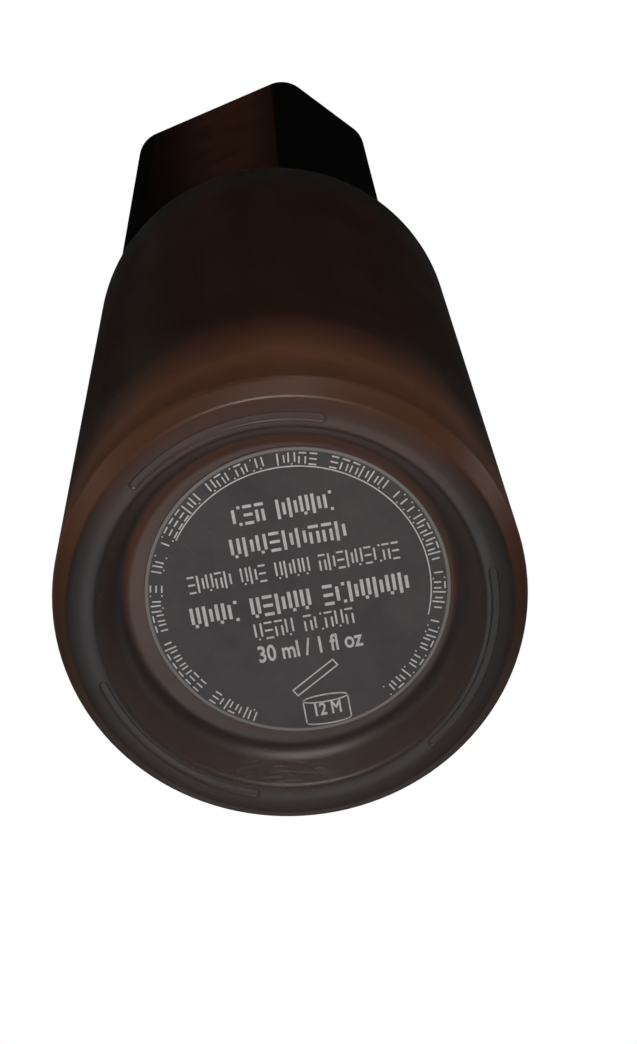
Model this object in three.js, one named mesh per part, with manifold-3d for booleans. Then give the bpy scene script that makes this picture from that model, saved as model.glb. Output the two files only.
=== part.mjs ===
// A foundation bottle: heavy-wall glass bottle, screw-on lotion pump and tall faceted overcap.
// Millimetres, +Z up. The origin is the middle of the foot, on the surface that the bottle stands on.
import * as THREE from 'three';
import { mergeVertices } from 'three/addons/utils/BufferGeometryUtils.js';
import Module from 'manifold-3d';

const wasm = await Module();
wasm.setup();

// ---------------------------------------------------------------- driving dimensions

const TURNED_SIDES = 48;      // sides of every large turned piece, so nested pieces share their facets
const SMALL_SIDES = 24;       // sides of the pump's small turned pieces

const BODY_RADIUS = 16.5;
const BODY_HEIGHT = 69.0;     // foot to the top of the shoulder
const BODY_WALL = 3.0;
const BASE_THICKNESS = 9.5;   // foot to the inside floor
const SHOULDER_WALL = 3.4;
const HEEL_ROUNDING = 1.5;
const SHOULDER_ROUNDING = 1.8;

const FOOT_WIDTH = 1.7;       // width of the ring that the bottle stands on
const PANEL_DEPTH = 2.8;      // how far the base panel is recessed
const PANEL_SLOPE = 1.3;      // how far the recess narrows from the foot to the panel
const FOOT_GROOVE_IN = 0.9;   // outer edge of the foot ring to the middle of its grooves
const FOOT_GROOVE_WIDTH = 0.7;
const FOOT_GROOVE_DEPTH = 0.3;
const FOOT_GROOVE_SWEEP = 57;             // degrees
const FOOT_GROOVE_MIDDLES = [20, 132, 253];

const LABEL_MARGIN = 1.3;     // edge of the panel to the edge of the label, if it sat in the middle
const LABEL_THICKNESS = 0.12;
const LABEL_OFFSET = new THREE.Vector2(0.55, -0.36);

const NECK_WALL = 1.95;
const NECK_HEIGHT = 11.0;     // shoulder to rim
const NECK_RIDGE_UP = 3.45;   // shoulder to the underside of the neck's ridge
const THREAD_HEIGHT = 1.0;    // how far the neck's ridge stands out
const THREAD_PITCH = 3.0;
const THREAD_TURNS = 1.25;
const THREAD_ROOT_WIDTH = 1.5;
const THREAD_CREST_WIDTH = 0.8;

const GASKET_THICKNESS = 0.7;

const COLLAR_WALL = 0.6;
const COLLAR_TOP_THICKNESS = 1.2;
const SLEEVE_WALL = 0.4;

const FLANGE_THICKNESS = 1.2;
const HOUSING_RADIUS = 5.0;
const HOUSING_WALL = 0.9;
const HOUSING_RIM_STEP = 0.5; // how far the rim over the flange stands out from the housing
const SOCKET_WALL = 1.0;
const SOCKET_LENGTH = 6.0;

const BALL_RADIUS = 1.2;
const BALL_TRAVEL = 0.8;
const SEAT_BORE_RADIUS = 0.75;

const TUBE_RADIUS = 1.25;
const TUBE_BORE_RADIUS = 0.8;
const TUBE_TO_FLOOR = 1.1;    // lower end of the dip tube to the inside floor

const STROKE = 4.5;
const STEM_RADIUS = 2.0;
const STEM_BORE_RADIUS = 1.1;
const ROD_RADIUS = 1.5;
const ROD_FLANGE_RADIUS = 3.0;
const ROD_FLANGE_THICKNESS = 1.3;
const PISTON_LENGTH = 5.0;
const PISTON_WAIST_DEPTH = 0.72;
const PISTON_BELOW_FLANGE = 1.9;

const WIRE_RADIUS = 0.25;
const SPRING_RADIUS = 2.6;    // middle of the wire
const SPRING_TURNS = 7;
const SPRING_SPARE = 2.45;    // length left over its closed coils when the pump is pressed home
const RETAINER_THICKNESS = 1.0;
const RETAINER_OVERHANG = 0.9;            // how far the retainer reaches over the collar's top

const ACTUATOR_HEIGHT = 21.0;
const ACTUATOR_WALL = 1.1;
const FINGER_PAD_DEPTH = 0.9;
const STEM_SOCKET_RADIUS = 3.4;
const STEM_SOCKET_DEPTH = 11.0;
const SPOUT_RADIUS = 2.4;
const SPOUT_STAND_OUT = 1.1;  // actuator's side to the end of the spout
const SPOUT_BELOW_TOP = 4.2;
const OUTLET_RADIUS = 0.8;
const NOZZLE_RADIUS = 1.6;
const NOZZLE_LENGTH = 2.2;
const NOZZLE_ORIFICE_RADIUS = 0.5;

const CAP_HEADROOM = 6.2;     // actuator to the liner's ceiling
const CAP_WALL = 1.5;
const CAP_CORNER_ROUNDING = 3.2;
const CAP_TOP_ROUNDING = 0.5;
// Outward directions of three faces in degrees, and the room between the wall and the liner there.
// The other three faces are opposite.
const CAP_FACES = [
  { direction: 250, room: 1.6 },
  { direction: 310, room: 1.8 },
  { direction: 350, room: 0.3 },
];
const LINER_WALL = 0.7;
const LINER_FLANGE_THICKNESS = 1.2;
const CLIP_RIB_HEIGHT = 0.1;
const CLIP_RIB_UP = 3.5;      // foot of the liner to its clip rib

// ---------------------------------------------------------------- clearances

const PRESS_GAP = 0.05;       // between pieces pressed or glued together
const SLIDE_GAP = 0.08;       // round pieces that slide or turn in one another
const SEAT_GAP = 0.05;        // faces that rest on one another
const LABEL_GAP = 0.01;
const THREAD_GAP = 0.15;      // crest to the opposite wall
const CAP_TO_SHOULDER = 0.6;
const COLLAR_TO_SHOULDER = 1.2;
const BALL_GAP = 0.03;
const CAP_TO_SLEEVE = 0.15;
const LINER_GAP = 0.1;        // liner to the shell's ceiling and walls
const NECK_TO_HOUSING = 0.8;
const SKIRT_GAP = 0.54;       // retainer to the inside of the actuator's skirt
const PRESSED_GAP = 0.3;      // actuator to the sleeve when the pump is pressed home

// ---------------------------------------------------------------- heights and radii that follow

const footOuterRadius = BODY_RADIUS - HEEL_ROUNDING;
const footInnerRadius = footOuterRadius - FOOT_WIDTH;
const panelRadius = footInnerRadius - PANEL_SLOPE;
const labelRadius = panelRadius - LABEL_MARGIN;
const neckBoreRadius = HOUSING_RADIUS + NECK_TO_HOUSING;
const neckRadius = neckBoreRadius + NECK_WALL;
const neckRidgeBottom = BODY_HEIGHT + NECK_RIDGE_UP;

const rim = BODY_HEIGHT + NECK_HEIGHT;
const gasketBottom = rim + SEAT_GAP;
const flangeBottom = gasketBottom + GASKET_THICKNESS + SEAT_GAP;
const flangeTop = flangeBottom + FLANGE_THICKNESS;
const collarTopInside = flangeTop + SEAT_GAP;
const collarTop = collarTopInside + COLLAR_TOP_THICKNESS;
const housingTop = collarTop + SEAT_GAP;
const retainerBottom = housingTop + SEAT_GAP;
const retainerTop = retainerBottom + RETAINER_THICKNESS;
const housingRimRadius = HOUSING_RADIUS + HOUSING_RIM_STEP;
const chamberRadius = HOUSING_RADIUS - HOUSING_WALL;

const collarInnerRadius = neckRadius + THREAD_HEIGHT + THREAD_GAP;
const collarRadius = collarInnerRadius + COLLAR_WALL;
const collarBottom = BODY_HEIGHT + COLLAR_TO_SHOULDER;
const collarHoleRadius = housingRimRadius + 2 * SLIDE_GAP;
const retainerRadius = collarHoleRadius + RETAINER_OVERHANG;
const sleeveInnerRadius = collarRadius + PRESS_GAP;
const sleeveRadius = sleeveInnerRadius + SLEEVE_WALL;
const sleeveBottom = collarBottom - 0.1;
const sleeveLipBottom = collarTop + SEAT_GAP;
const sleeveTop = sleeveLipBottom + SLEEVE_WALL;

const pistonTop = flangeTop - PISTON_BELOW_FLANGE;
const pistonBottom = pistonTop - PISTON_LENGTH;
const stemShoulder = pistonTop + SEAT_GAP;
const rodFlangeTop = pistonBottom - SEAT_GAP;
const rodFlangeBottom = rodFlangeTop - ROD_FLANGE_THICKNESS;
const rodSpigotRadius = STEM_BORE_RADIUS - PRESS_GAP;
const closedSpring = 2 * WIRE_RADIUS * SPRING_TURNS;
const springLedge = rodFlangeBottom - STROKE - closedSpring - SPRING_SPARE;
const springBottom = springLedge + SEAT_GAP + WIRE_RADIUS;
const springTop = rodFlangeBottom - SEAT_GAP - WIRE_RADIUS;

const ballLipBottom = springLedge - 0.6;
const ballPocketRadius = BALL_RADIUS + 0.3;
const ballMouthRadius = BALL_RADIUS - 0.2;
const seatSlope = 0.93;       // rise over run of the ball's conical seat
// The ball touches the lip at the mouth's edge after its travel, and rests on the cone a gap below that.
const ballUp = ballLipBottom - Math.sqrt(BALL_RADIUS ** 2 - ballMouthRadius ** 2) - BALL_GAP;
const ballCentre = ballUp - BALL_TRAVEL;
const seatNormalLength = Math.hypot(1, seatSlope);
const seatBottom = ballCentre - (BALL_RADIUS + BALL_GAP) * seatNormalLength + SEAT_BORE_RADIUS * seatSlope;
const seatTop = seatBottom + (ballPocketRadius - SEAT_BORE_RADIUS) * seatSlope;
const socketTop = seatBottom - 0.9;
const socketBottom = socketTop - SOCKET_LENGTH;
const socketBoreRadius = TUBE_RADIUS + PRESS_GAP;
const socketRadius = socketBoreRadius + SOCKET_WALL;
const tubeTop = socketTop - SEAT_GAP;
const tubeBottom = BASE_THICKNESS + TUBE_TO_FLOOR;

const actuatorRadius = retainerRadius + SKIRT_GAP + ACTUATOR_WALL;
const actuatorBottom = sleeveTop + STROKE + PRESSED_GAP;
const actuatorTop = actuatorBottom + ACTUATOR_HEIGHT;
const spoutReach = actuatorRadius + SPOUT_STAND_OUT;
const stemSocketTop = actuatorBottom + STEM_SOCKET_DEPTH;
const stemTop = stemSocketTop - SEAT_GAP;
const stemSocketBore = STEM_RADIUS + PRESS_GAP;
const spoutHeight = actuatorTop - SPOUT_BELOW_TOP;

const capBottom = BODY_HEIGHT + CAP_TO_SHOULDER;
const linerInnerRadius = sleeveRadius + CAP_TO_SLEEVE;
const linerRadius = linerInnerRadius + LINER_WALL;
const linerCeiling = actuatorTop + CAP_HEADROOM;
const linerTop = linerCeiling + LINER_WALL;
const capCeiling = linerTop + LINER_GAP;
const capTop = capCeiling + CAP_WALL;

// ---------------------------------------------------------------- geometry helpers

/** A geometry with its vertices merged by place and its collapsed triangles dropped, facing out. */
function cleaned(geometry) {
  const bare = new THREE.BufferGeometry();
  bare.setAttribute('position', geometry.getAttribute('position').clone());
  if (geometry.index) bare.setIndex(geometry.index.clone());
  const merged = mergeVertices(bare, 1e-4);
  const source = merged.index.array;
  const kept = [];
  for (let i = 0; i < source.length; i += 3) {
    const [a, b, c] = [source[i], source[i + 1], source[i + 2]];
    if (a !== b && b !== c && c !== a) kept.push(a, b, c);
  }
  const place = merged.getAttribute('position');
  const [p, q, r] = [new THREE.Vector3(), new THREE.Vector3(), new THREE.Vector3()];
  let volume = 0;
  for (let i = 0; i < kept.length; i += 3) {
    p.fromBufferAttribute(place, kept[i]);
    q.fromBufferAttribute(place, kept[i + 1]);
    r.fromBufferAttribute(place, kept[i + 2]);
    volume += p.dot(q.cross(r));
  }
  if (volume < 0) kept.reverse();
  merged.setIndex(kept);
  return merged;
}

/** The geometry as a manifold solid. */
function solid(geometry) {
  const tidy = cleaned(geometry);
  return new wasm.Manifold(new wasm.Mesh({
    numProp: 3,
    vertProperties: new Float32Array(tidy.getAttribute('position').array),
    triVerts: new Uint32Array(tidy.index.array),
  }));
}

/** The manifold solid as a geometry. */
function shaped(manifold) {
  const mesh = manifold.getMesh();
  const geometry = new THREE.BufferGeometry();
  geometry.setAttribute('position', new THREE.BufferAttribute(new Float32Array(mesh.vertProperties), 3));
  geometry.setIndex(Array.from(mesh.triVerts));
  return geometry;
}

/** A profile of [radius, height] points turned about +Z. It starts and ends on the axis or closes on itself. */
function turned(profile, sides = TURNED_SIDES) {
  const points = profile.map(([radius, height]) => new THREE.Vector2(radius, height));
  return new THREE.LatheGeometry(points, sides).rotateX(Math.PI / 2);
}

/** A turned profile closed on itself. */
const ring = (profile, sides) => turned([...profile, profile[0]], sides);

/** Points of a quarter round about [radius, height], from one angle in degrees to another. */
function quarter(radius, height, rounding, from, to, steps = 3) {
  return Array.from({ length: steps + 1 }, (_, i) => {
    const angle = THREE.MathUtils.degToRad(from + ((to - from) * i) / steps);
    return [radius + rounding * Math.cos(angle), height + rounding * Math.sin(angle)];
  });
}

/** A tube wall between two radii and two heights. */
const pipe = (inner, outer, bottom, top, sides) =>
  ring([[inner, bottom], [outer, bottom], [outer, top], [inner, top]], sides);

/** A solid round bar along +Z. */
const bar = (radius, bottom, top, sides = SMALL_SIDES) =>
  turned([[0, bottom], [radius, bottom], [radius, top], [0, top]], sides);

/** A round bar that runs from the axis out along -Y at a height. */
function outletBar(radius, from, to, height, sides = SMALL_SIDES) {
  const geometry = new THREE.CylinderGeometry(radius, radius, to - from, sides);
  return geometry.translate(0, -(from + to) / 2, height);
}

/**
 * A closed sweep: a cross-section of [out, up] points carried round +Z.
 * place(t) gives the angle, radius, height and scale of the section's radial part, for t from 0 to 1.
 */
function helix(section, steps, place) {
  const vertices = [];
  const faces = [];
  const count = section.length;
  for (let i = 0; i <= steps; i += 1) {
    const { angle, radius, height, scale } = place(i / steps);
    for (const [out, up] of section) {
      const reach = radius + out * scale;
      vertices.push(reach * Math.cos(angle), reach * Math.sin(angle), height + up);
    }
  }
  for (let i = 0; i < steps; i += 1) {
    for (let j = 0; j < count; j += 1) {
      const [a, b] = [i * count + j, i * count + ((j + 1) % count)];
      faces.push(a, b, b + count, a, b + count, a + count);
    }
  }
  const last = steps * count;
  for (let j = 1; j < count - 1; j += 1) {
    faces.push(0, j + 1, j, last, last + j, last + j + 1);
  }
  const geometry = new THREE.BufferGeometry();
  geometry.setAttribute('position', new THREE.Float32BufferAttribute(vertices, 3));
  geometry.setIndex(faces);
  return geometry;
}

/** A screw ridge whose root is at a radius and whose crest stands out (or in, if height is negative). */
function screwRidge(rootRadius, height, bottom, rootWidth, crestWidth, sink) {
  const inward = Math.sign(height) * sink;
  const section = [
    [-inward, -rootWidth / 2], [0, -rootWidth / 2], [height, -crestWidth / 2],
    [height, crestWidth / 2], [0, rootWidth / 2], [-inward, rootWidth / 2],
  ];
  const runOut = 0.08;        // share of the ridge over which it fades at each end
  const leastScale = 0.15;
  return helix(section, Math.round(TURNED_SIDES * THREAD_TURNS), (t) => ({
    angle: t * THREAD_TURNS * 2 * Math.PI,
    radius: rootRadius,
    height: bottom + rootWidth / 2 + t * THREAD_TURNS * THREAD_PITCH,
    scale: THREE.MathUtils.lerp(leastScale, 1, Math.min(1, t / runOut, (1 - t) / runOut)),
  }));
}

// ---------------------------------------------------------------- glass and label

function footGroove(middle) {
  const footGrooveRadius = footOuterRadius - FOOT_GROOVE_IN;
  const half = THREE.MathUtils.degToRad(FOOT_GROOVE_SWEEP / 2);
  const start = THREE.MathUtils.degToRad(middle) - half;
  const end = start + 2 * half;
  const outline = new THREE.Shape();
  outline.absarc(0, 0, footGrooveRadius + FOOT_GROOVE_WIDTH / 2, start, end, false);
  outline.absarc(0, 0, footGrooveRadius - FOOT_GROOVE_WIDTH / 2, end, start, true);
  const depth = 2 * FOOT_GROOVE_DEPTH;
  const cutter = new THREE.ExtrudeGeometry(outline, { depth, bevelEnabled: false, curveSegments: 8 });
  return cutter.translate(0, 0, -FOOT_GROOVE_DEPTH);
}

const THREAD_SINK = 0.1;      // how far a ridge's root reaches into the wall that carries it

function bottleBody() {
  const innerRadius = BODY_RADIUS - BODY_WALL;
  const innerTop = BODY_HEIGHT - SHOULDER_WALL;
  const floorRounding = 2.0;
  const crownRounding = 1.6;
  const neckFillet = 1.2;
  const rimRounding = 0.4;
  const boreFlare = 2.2;
  const profile = [
    [0, PANEL_DEPTH],
    [panelRadius, PANEL_DEPTH],
    [footInnerRadius - 0.35, 0.5],
    [footInnerRadius, 0.12],
    [footInnerRadius + 0.25, 0],
    ...quarter(BODY_RADIUS - HEEL_ROUNDING, HEEL_ROUNDING, HEEL_ROUNDING, -90, 0),
    ...quarter(BODY_RADIUS - SHOULDER_ROUNDING, BODY_HEIGHT - SHOULDER_ROUNDING, SHOULDER_ROUNDING, 0, 90),
    ...quarter(neckRadius + neckFillet, BODY_HEIGHT + neckFillet, neckFillet, 270, 180),
    ...quarter(neckRadius - rimRounding, rim - rimRounding, rimRounding, 0, 90, 2),
    ...quarter(neckBoreRadius + rimRounding, rim - rimRounding, rimRounding, 90, 180, 2),
    [neckBoreRadius, BODY_HEIGHT - 0.6],
    [neckBoreRadius + boreFlare / 2, innerTop + 0.7],
    [neckBoreRadius + boreFlare, innerTop],
    ...quarter(innerRadius - crownRounding, innerTop - crownRounding, crownRounding, 90, 0),
    ...quarter(innerRadius - floorRounding, BASE_THICKNESS + floorRounding, floorRounding, 0, -90),
    [0, BASE_THICKNESS],
  ];
  const ridge = screwRidge(
    neckRadius, THREAD_HEIGHT, neckRidgeBottom, THREAD_ROOT_WIDTH, THREAD_CREST_WIDTH, THREAD_SINK);
  let glass = solid(turned(profile)).add(solid(ridge));
  for (const middle of FOOT_GROOVE_MIDDLES) glass = glass.subtract(solid(footGroove(middle)));
  return shaped(glass);
}

function baseLabel() {
  const label = new THREE.CylinderGeometry(labelRadius, labelRadius, LABEL_THICKNESS, TURNED_SIDES);
  label.rotateX(Math.PI / 2);
  const height = PANEL_DEPTH - LABEL_GAP - LABEL_THICKNESS / 2;
  return label.translate(LABEL_OFFSET.x, LABEL_OFFSET.y, height);
}

// ---------------------------------------------------------------- closure

function neckGasket() {
  return pipe(HOUSING_RADIUS + 0.2, neckRadius - 0.1, gasketBottom, gasketBottom + GASKET_THICKNESS);
}

function screwCollar() {
  const shell = ring([
    [collarInnerRadius, collarBottom], [collarRadius, collarBottom], [collarRadius, collarTop],
    [collarHoleRadius, collarTop], [collarHoleRadius, collarTopInside], [collarInnerRadius, collarTopInside],
  ]);
  // The collar's ridge runs inward, just under the neck's own ridge and on the same screw line.
  const ridgeHeight = THREAD_HEIGHT - 0.05;
  const rootWidth = 1.2;
  const crestWidth = 0.6;
  const flankGap = 0.12;
  const drop = (THREAD_ROOT_WIDTH + THREAD_CREST_WIDTH + rootWidth + crestWidth) / 4 + flankGap;
  const middle = neckRidgeBottom + THREAD_ROOT_WIDTH / 2 - drop;
  const ridge = screwRidge(
    collarInnerRadius, -ridgeHeight, middle - rootWidth / 2, rootWidth, crestWidth, THREAD_SINK);
  return shaped(solid(shell).add(solid(ridge)));
}

function collarSleeve() {
  const lipRadius = collarRadius - 0.9;
  return ring([
    [sleeveInnerRadius, sleeveBottom], [sleeveRadius, sleeveBottom],
    [sleeveRadius, sleeveTop - 0.25], [sleeveRadius - 0.25, sleeveTop],
    [lipRadius, sleeveTop], [lipRadius, sleeveLipBottom], [sleeveInnerRadius, sleeveLipBottom],
  ]);
}

// ---------------------------------------------------------------- pump

function pumpHousing() {
  const shoulder = seatTop + 1.4;
  return ring([
    [socketBoreRadius, socketBottom], [socketRadius, socketBottom],
    [socketRadius, seatBottom - 0.6], [ballPocketRadius + 1.2, seatTop - 0.4],
    [HOUSING_RADIUS, shoulder], [HOUSING_RADIUS, flangeBottom],
    [neckRadius, flangeBottom], [neckRadius, flangeTop],
    [housingRimRadius, flangeTop], [housingRimRadius, housingTop],
    [chamberRadius, housingTop], [chamberRadius, springLedge],
    [ballMouthRadius, springLedge], [ballMouthRadius, ballLipBottom],
    [ballPocketRadius, ballLipBottom], [ballPocketRadius, seatTop],
    [SEAT_BORE_RADIUS, seatBottom], [SEAT_BORE_RADIUS, socketTop],
    [socketBoreRadius, socketTop],
  ]);
}

function stemRetainer() {
  const bore = STEM_RADIUS + SLIDE_GAP;
  const skirtRadius = chamberRadius - PRESS_GAP;
  const skirtBottom = stemShoulder + 0.6;
  return ring([
    [bore + 0.7, skirtBottom], [skirtRadius, skirtBottom], [skirtRadius, retainerBottom],
    [retainerRadius, retainerBottom], [retainerRadius, retainerTop - 0.3],
    [retainerRadius - 0.3, retainerTop], [bore, retainerTop],
    [bore, skirtBottom + 1.2],
  ]);
}

function dipTube() {
  const tube = solid(pipe(TUBE_BORE_RADIUS, TUBE_RADIUS, tubeBottom, tubeTop, SMALL_SIDES));
  // The lower end is cut on a slant so that it can't seal against the floor.
  const size = 4 * TUBE_RADIUS;
  const slant = new THREE.BoxGeometry(2 * size, 2 * size, size).translate(0, 0, -size / 2);
  slant.rotateY(THREE.MathUtils.degToRad(35));
  slant.translate(0, 0, tubeBottom + 0.9);
  return shaped(tube.subtract(solid(slant)));
}

function checkBall() {
  return new THREE.SphereGeometry(BALL_RADIUS, 16, 10).rotateX(Math.PI / 2).translate(0, 0, ballCentre);
}

function returnSpring() {
  const wireSides = 5;
  const stepsPerTurn = 12;
  const section = Array.from({ length: wireSides }, (_, i) => {
    const angle = (i / wireSides) * 2 * Math.PI;
    return [WIRE_RADIUS * Math.cos(angle), WIRE_RADIUS * Math.sin(angle)];
  });
  return helix(section, SPRING_TURNS * stepsPerTurn, (t) => ({
    angle: t * SPRING_TURNS * 2 * Math.PI,
    radius: SPRING_RADIUS,
    height: THREE.MathUtils.lerp(springBottom, springTop, t),
    scale: 1,
  }));
}

function piston() {
  const lipRadius = chamberRadius - SLIDE_GAP;
  const waistRadius = lipRadius - PISTON_WAIST_DEPTH;
  const bore = ROD_RADIUS + SLIDE_GAP;
  const lipHeight = 1.1;
  return ring([
    [bore, pistonBottom], [lipRadius, pistonBottom], [lipRadius, pistonBottom + lipHeight],
    [waistRadius, pistonBottom + lipHeight + 0.5], [waistRadius, pistonTop - lipHeight - 0.5],
    [lipRadius, pistonTop - lipHeight], [lipRadius, pistonTop], [bore, pistonTop],
  ]);
}

function pistonRod() {
  const spigotLength = 4.0;
  const rod = solid(turned([
    [0, rodFlangeBottom], [ROD_FLANGE_RADIUS, rodFlangeBottom], [ROD_FLANGE_RADIUS, rodFlangeTop],
    [ROD_RADIUS, rodFlangeTop], [ROD_RADIUS, stemShoulder - SEAT_GAP],
    [rodSpigotRadius, stemShoulder - SEAT_GAP], [rodSpigotRadius, stemShoulder + spigotLength],
    [0, stemShoulder + spigotLength],
  ], SMALL_SIDES));
  // A flute down one side lets the liquid past the piston's bore and up into the stem.
  const fluteDepth = 0.5;
  const fluteBottom = rodFlangeTop + 0.8;
  const fluteHeight = stemShoulder + spigotLength + 1 - fluteBottom;
  const flute = new THREE.BoxGeometry(2 * ROD_RADIUS, 2 * ROD_RADIUS, fluteHeight);
  flute.translate(rodSpigotRadius - fluteDepth + ROD_RADIUS, 0, fluteBottom + fluteHeight / 2);
  return shaped(rod.subtract(solid(flute)));
}

function pumpStem() {
  return pipe(STEM_BORE_RADIUS, STEM_RADIUS, stemShoulder, stemTop, SMALL_SIDES);
}

function actuator() {
  const skirtInner = actuatorRadius - ACTUATOR_WALL;
  const roof = actuatorTop - FINGER_PAD_DEPTH - 1.3;
  const topRounding = 1.0;
  const body = turned([
    [0, actuatorTop - FINGER_PAD_DEPTH], [3.2, actuatorTop - 0.75 * FINGER_PAD_DEPTH],
    [actuatorRadius - topRounding - 1.0, actuatorTop - 0.1],
    ...quarter(actuatorRadius - topRounding, actuatorTop - topRounding, topRounding, 90, 0),
    [actuatorRadius, actuatorBottom], [skirtInner, actuatorBottom], [skirtInner, roof],
    [STEM_SOCKET_RADIUS, roof], [STEM_SOCKET_RADIUS, actuatorBottom + 1.5],
    [stemSocketBore, actuatorBottom + 1.5], [stemSocketBore, stemSocketTop],
    [STEM_BORE_RADIUS, stemSocketTop], [STEM_BORE_RADIUS, spoutHeight], [0, spoutHeight],
  ]);
  const spout = solid(outletBar(SPOUT_RADIUS, STEM_BORE_RADIUS + 0.9, spoutReach, spoutHeight));
  const channel = solid(outletBar(OUTLET_RADIUS, -0.2, spoutReach - 1, spoutHeight));
  const pocket = solid(outletBar(
    NOZZLE_RADIUS + PRESS_GAP, spoutReach - NOZZLE_LENGTH, spoutReach + 1, spoutHeight));
  return shaped(solid(body).add(spout).subtract(channel).subtract(pocket));
}

function nozzleInsert() {
  const inner = spoutReach - NOZZLE_LENGTH + SEAT_GAP;
  const outer = spoutReach + 0.15;
  const plug = ring([
    [NOZZLE_ORIFICE_RADIUS, inner], [NOZZLE_RADIUS, inner], [NOZZLE_RADIUS, outer - 0.15],
    [NOZZLE_RADIUS - 0.15, outer], [NOZZLE_ORIFICE_RADIUS + 0.25, outer],
    [NOZZLE_ORIFICE_RADIUS, outer - 0.25],
  ], SMALL_SIDES);
  return plug.rotateX(Math.PI / 2).translate(0, 0, spoutHeight);
}

// ---------------------------------------------------------------- overcap

/** The cap's plan, every face moved in by an inset, with rounded corners. */
function capPlan(inset) {
  const opposite = CAP_FACES.map(({ direction, room }) => ({ direction: direction + 180, room }));
  const faces = [...CAP_FACES, ...opposite].map(({ direction, room }) => {
    const angle = THREE.MathUtils.degToRad(direction);
    const distance = linerRadius + room + CAP_WALL - inset;
    return { normal: new THREE.Vector2(Math.cos(angle), Math.sin(angle)), distance };
  });
  // Each corner is where two neighbouring faces meet; corner i lies between face i and face i + 1.
  const corners = faces.map((face, i) => {
    const next = faces[(i + 1) % faces.length];
    const cross = face.normal.x * next.normal.y - face.normal.y * next.normal.x;
    return new THREE.Vector2(
      (face.distance * next.normal.y - next.distance * face.normal.y) / cross,
      (next.distance * face.normal.x - face.distance * next.normal.x) / cross,
    );
  });
  const rounding = Math.max(CAP_CORNER_ROUNDING - inset, 0.5);
  const arcSteps = 5;
  const outline = [];
  corners.forEach((corner, i) => {
    const before = faces[i].normal;
    const after = faces[(i + 1) % faces.length].normal;
    const middle = before.clone().add(after).normalize();
    const centre = corner.clone().addScaledVector(middle, -rounding / middle.dot(before));
    const turn = Math.acos(THREE.MathUtils.clamp(before.dot(after), -1, 1));
    const first = Math.atan2(before.y, before.x);
    for (let step = 0; step <= arcSteps; step += 1) {
      const angle = first + (turn * step) / arcSteps;
      outline.push(new THREE.Vector2(Math.cos(angle), Math.sin(angle)).multiplyScalar(rounding).add(centre));
    }
  });
  return new THREE.Shape(outline);
}

/** A block with the cap's plan between two heights. */
const capBlock = (inset, bottom, top) =>
  new THREE.ExtrudeGeometry(capPlan(inset), { depth: top - bottom, bevelEnabled: false }).translate(0, 0, bottom);

function overcapShell() {
  const outside = new THREE.ExtrudeGeometry(capPlan(CAP_TOP_ROUNDING), {
    depth: capTop - capBottom - 2 * CAP_TOP_ROUNDING,
    bevelEnabled: true,
    bevelThickness: CAP_TOP_ROUNDING,
    bevelSize: CAP_TOP_ROUNDING,
    bevelSegments: 2,
  }).translate(0, 0, capBottom + CAP_TOP_ROUNDING);
  return shaped(solid(outside).subtract(solid(capBlock(CAP_WALL, capBottom - 1, capCeiling))));
}

function overcapLiner() {
  const clipHeight = capBottom + CLIP_RIB_UP;
  const cup = ring([
    [0, linerCeiling], [0, linerTop], [linerRadius, linerTop], [linerRadius, capBottom + 0.3],
    [linerInnerRadius + 0.2, capBottom + 0.3], [linerInnerRadius, capBottom + 0.5],
    [linerInnerRadius, clipHeight - 0.4], [linerInnerRadius - CLIP_RIB_HEIGHT, clipHeight],
    [linerInnerRadius, clipHeight + 0.4], [linerInnerRadius, linerCeiling],
  ]);
  const flangeBottomHeight = capBottom + 0.3;
  const plate = solid(capBlock(CAP_WALL + LINER_GAP, flangeBottomHeight, flangeBottomHeight + LINER_FLANGE_THICKNESS));
  const hole = solid(bar(
    linerInnerRadius + LINER_WALL / 2, capBottom - 1, capBottom + LINER_FLANGE_THICKNESS + 1, TURNED_SIDES));
  return shaped(plate.subtract(hole).add(solid(cup)));
}

// ---------------------------------------------------------------- assembly

const finish = {
  glass: { color: 0x4a3a33, roughness: 0.08, metalness: 0 },
  label: { color: 0x4b494b, roughness: 0.45, metalness: 0 },
  blackGloss: { color: 0x0b0a0a, roughness: 0.12, metalness: 0 },
  blackSatin: { color: 0x141313, roughness: 0.4, metalness: 0 },
  whitePlastic: { color: 0xd9d7d2, roughness: 0.4, metalness: 0 },
  clearPlastic: { color: 0xc9c7c0, roughness: 0.25, metalness: 0 },
  softSeal: { color: 0xe6e3dc, roughness: 0.6, metalness: 0 },
  steel: { color: 0xb9babd, roughness: 0.25, metalness: 1 },
};

const pieces = [
  ['bottle_body', bottleBody, finish.glass],
  ['base_label', baseLabel, finish.label],
  ['neck_gasket', neckGasket, finish.softSeal],
  ['screw_collar', screwCollar, finish.blackSatin],
  ['collar_sleeve', collarSleeve, finish.blackGloss],
  ['pump_housing', pumpHousing, finish.clearPlastic],
  ['stem_retainer', stemRetainer, finish.whitePlastic],
  ['dip_tube', dipTube, finish.clearPlastic],
  ['check_ball', checkBall, finish.steel],
  ['return_spring', returnSpring, finish.steel],
  ['piston', piston, finish.whitePlastic],
  ['piston_rod', pistonRod, finish.whitePlastic],
  ['pump_stem', pumpStem, finish.whitePlastic],
  ['actuator', actuator, finish.blackSatin],
  ['nozzle_insert', nozzleInsert, finish.blackGloss],
  ['overcap_shell', overcapShell, finish.blackGloss],
  ['overcap_liner', overcapLiner, finish.blackSatin],
];

const bottle = new THREE.Group();
for (const [name, build, look] of pieces) {
  const mesh = new THREE.Mesh(cleaned(build()), new THREE.MeshStandardMaterial(look));
  mesh.name = name;
  bottle.add(mesh);
}

export default bottle;
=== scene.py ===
"""A round glass foundation bottle with its lotion pump, base label and tall faceted overcap.

Every length below is in millimetres unless a comment says otherwise. Meshes are in metres, in the
part's frame.
"""
from __future__ import annotations

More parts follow.
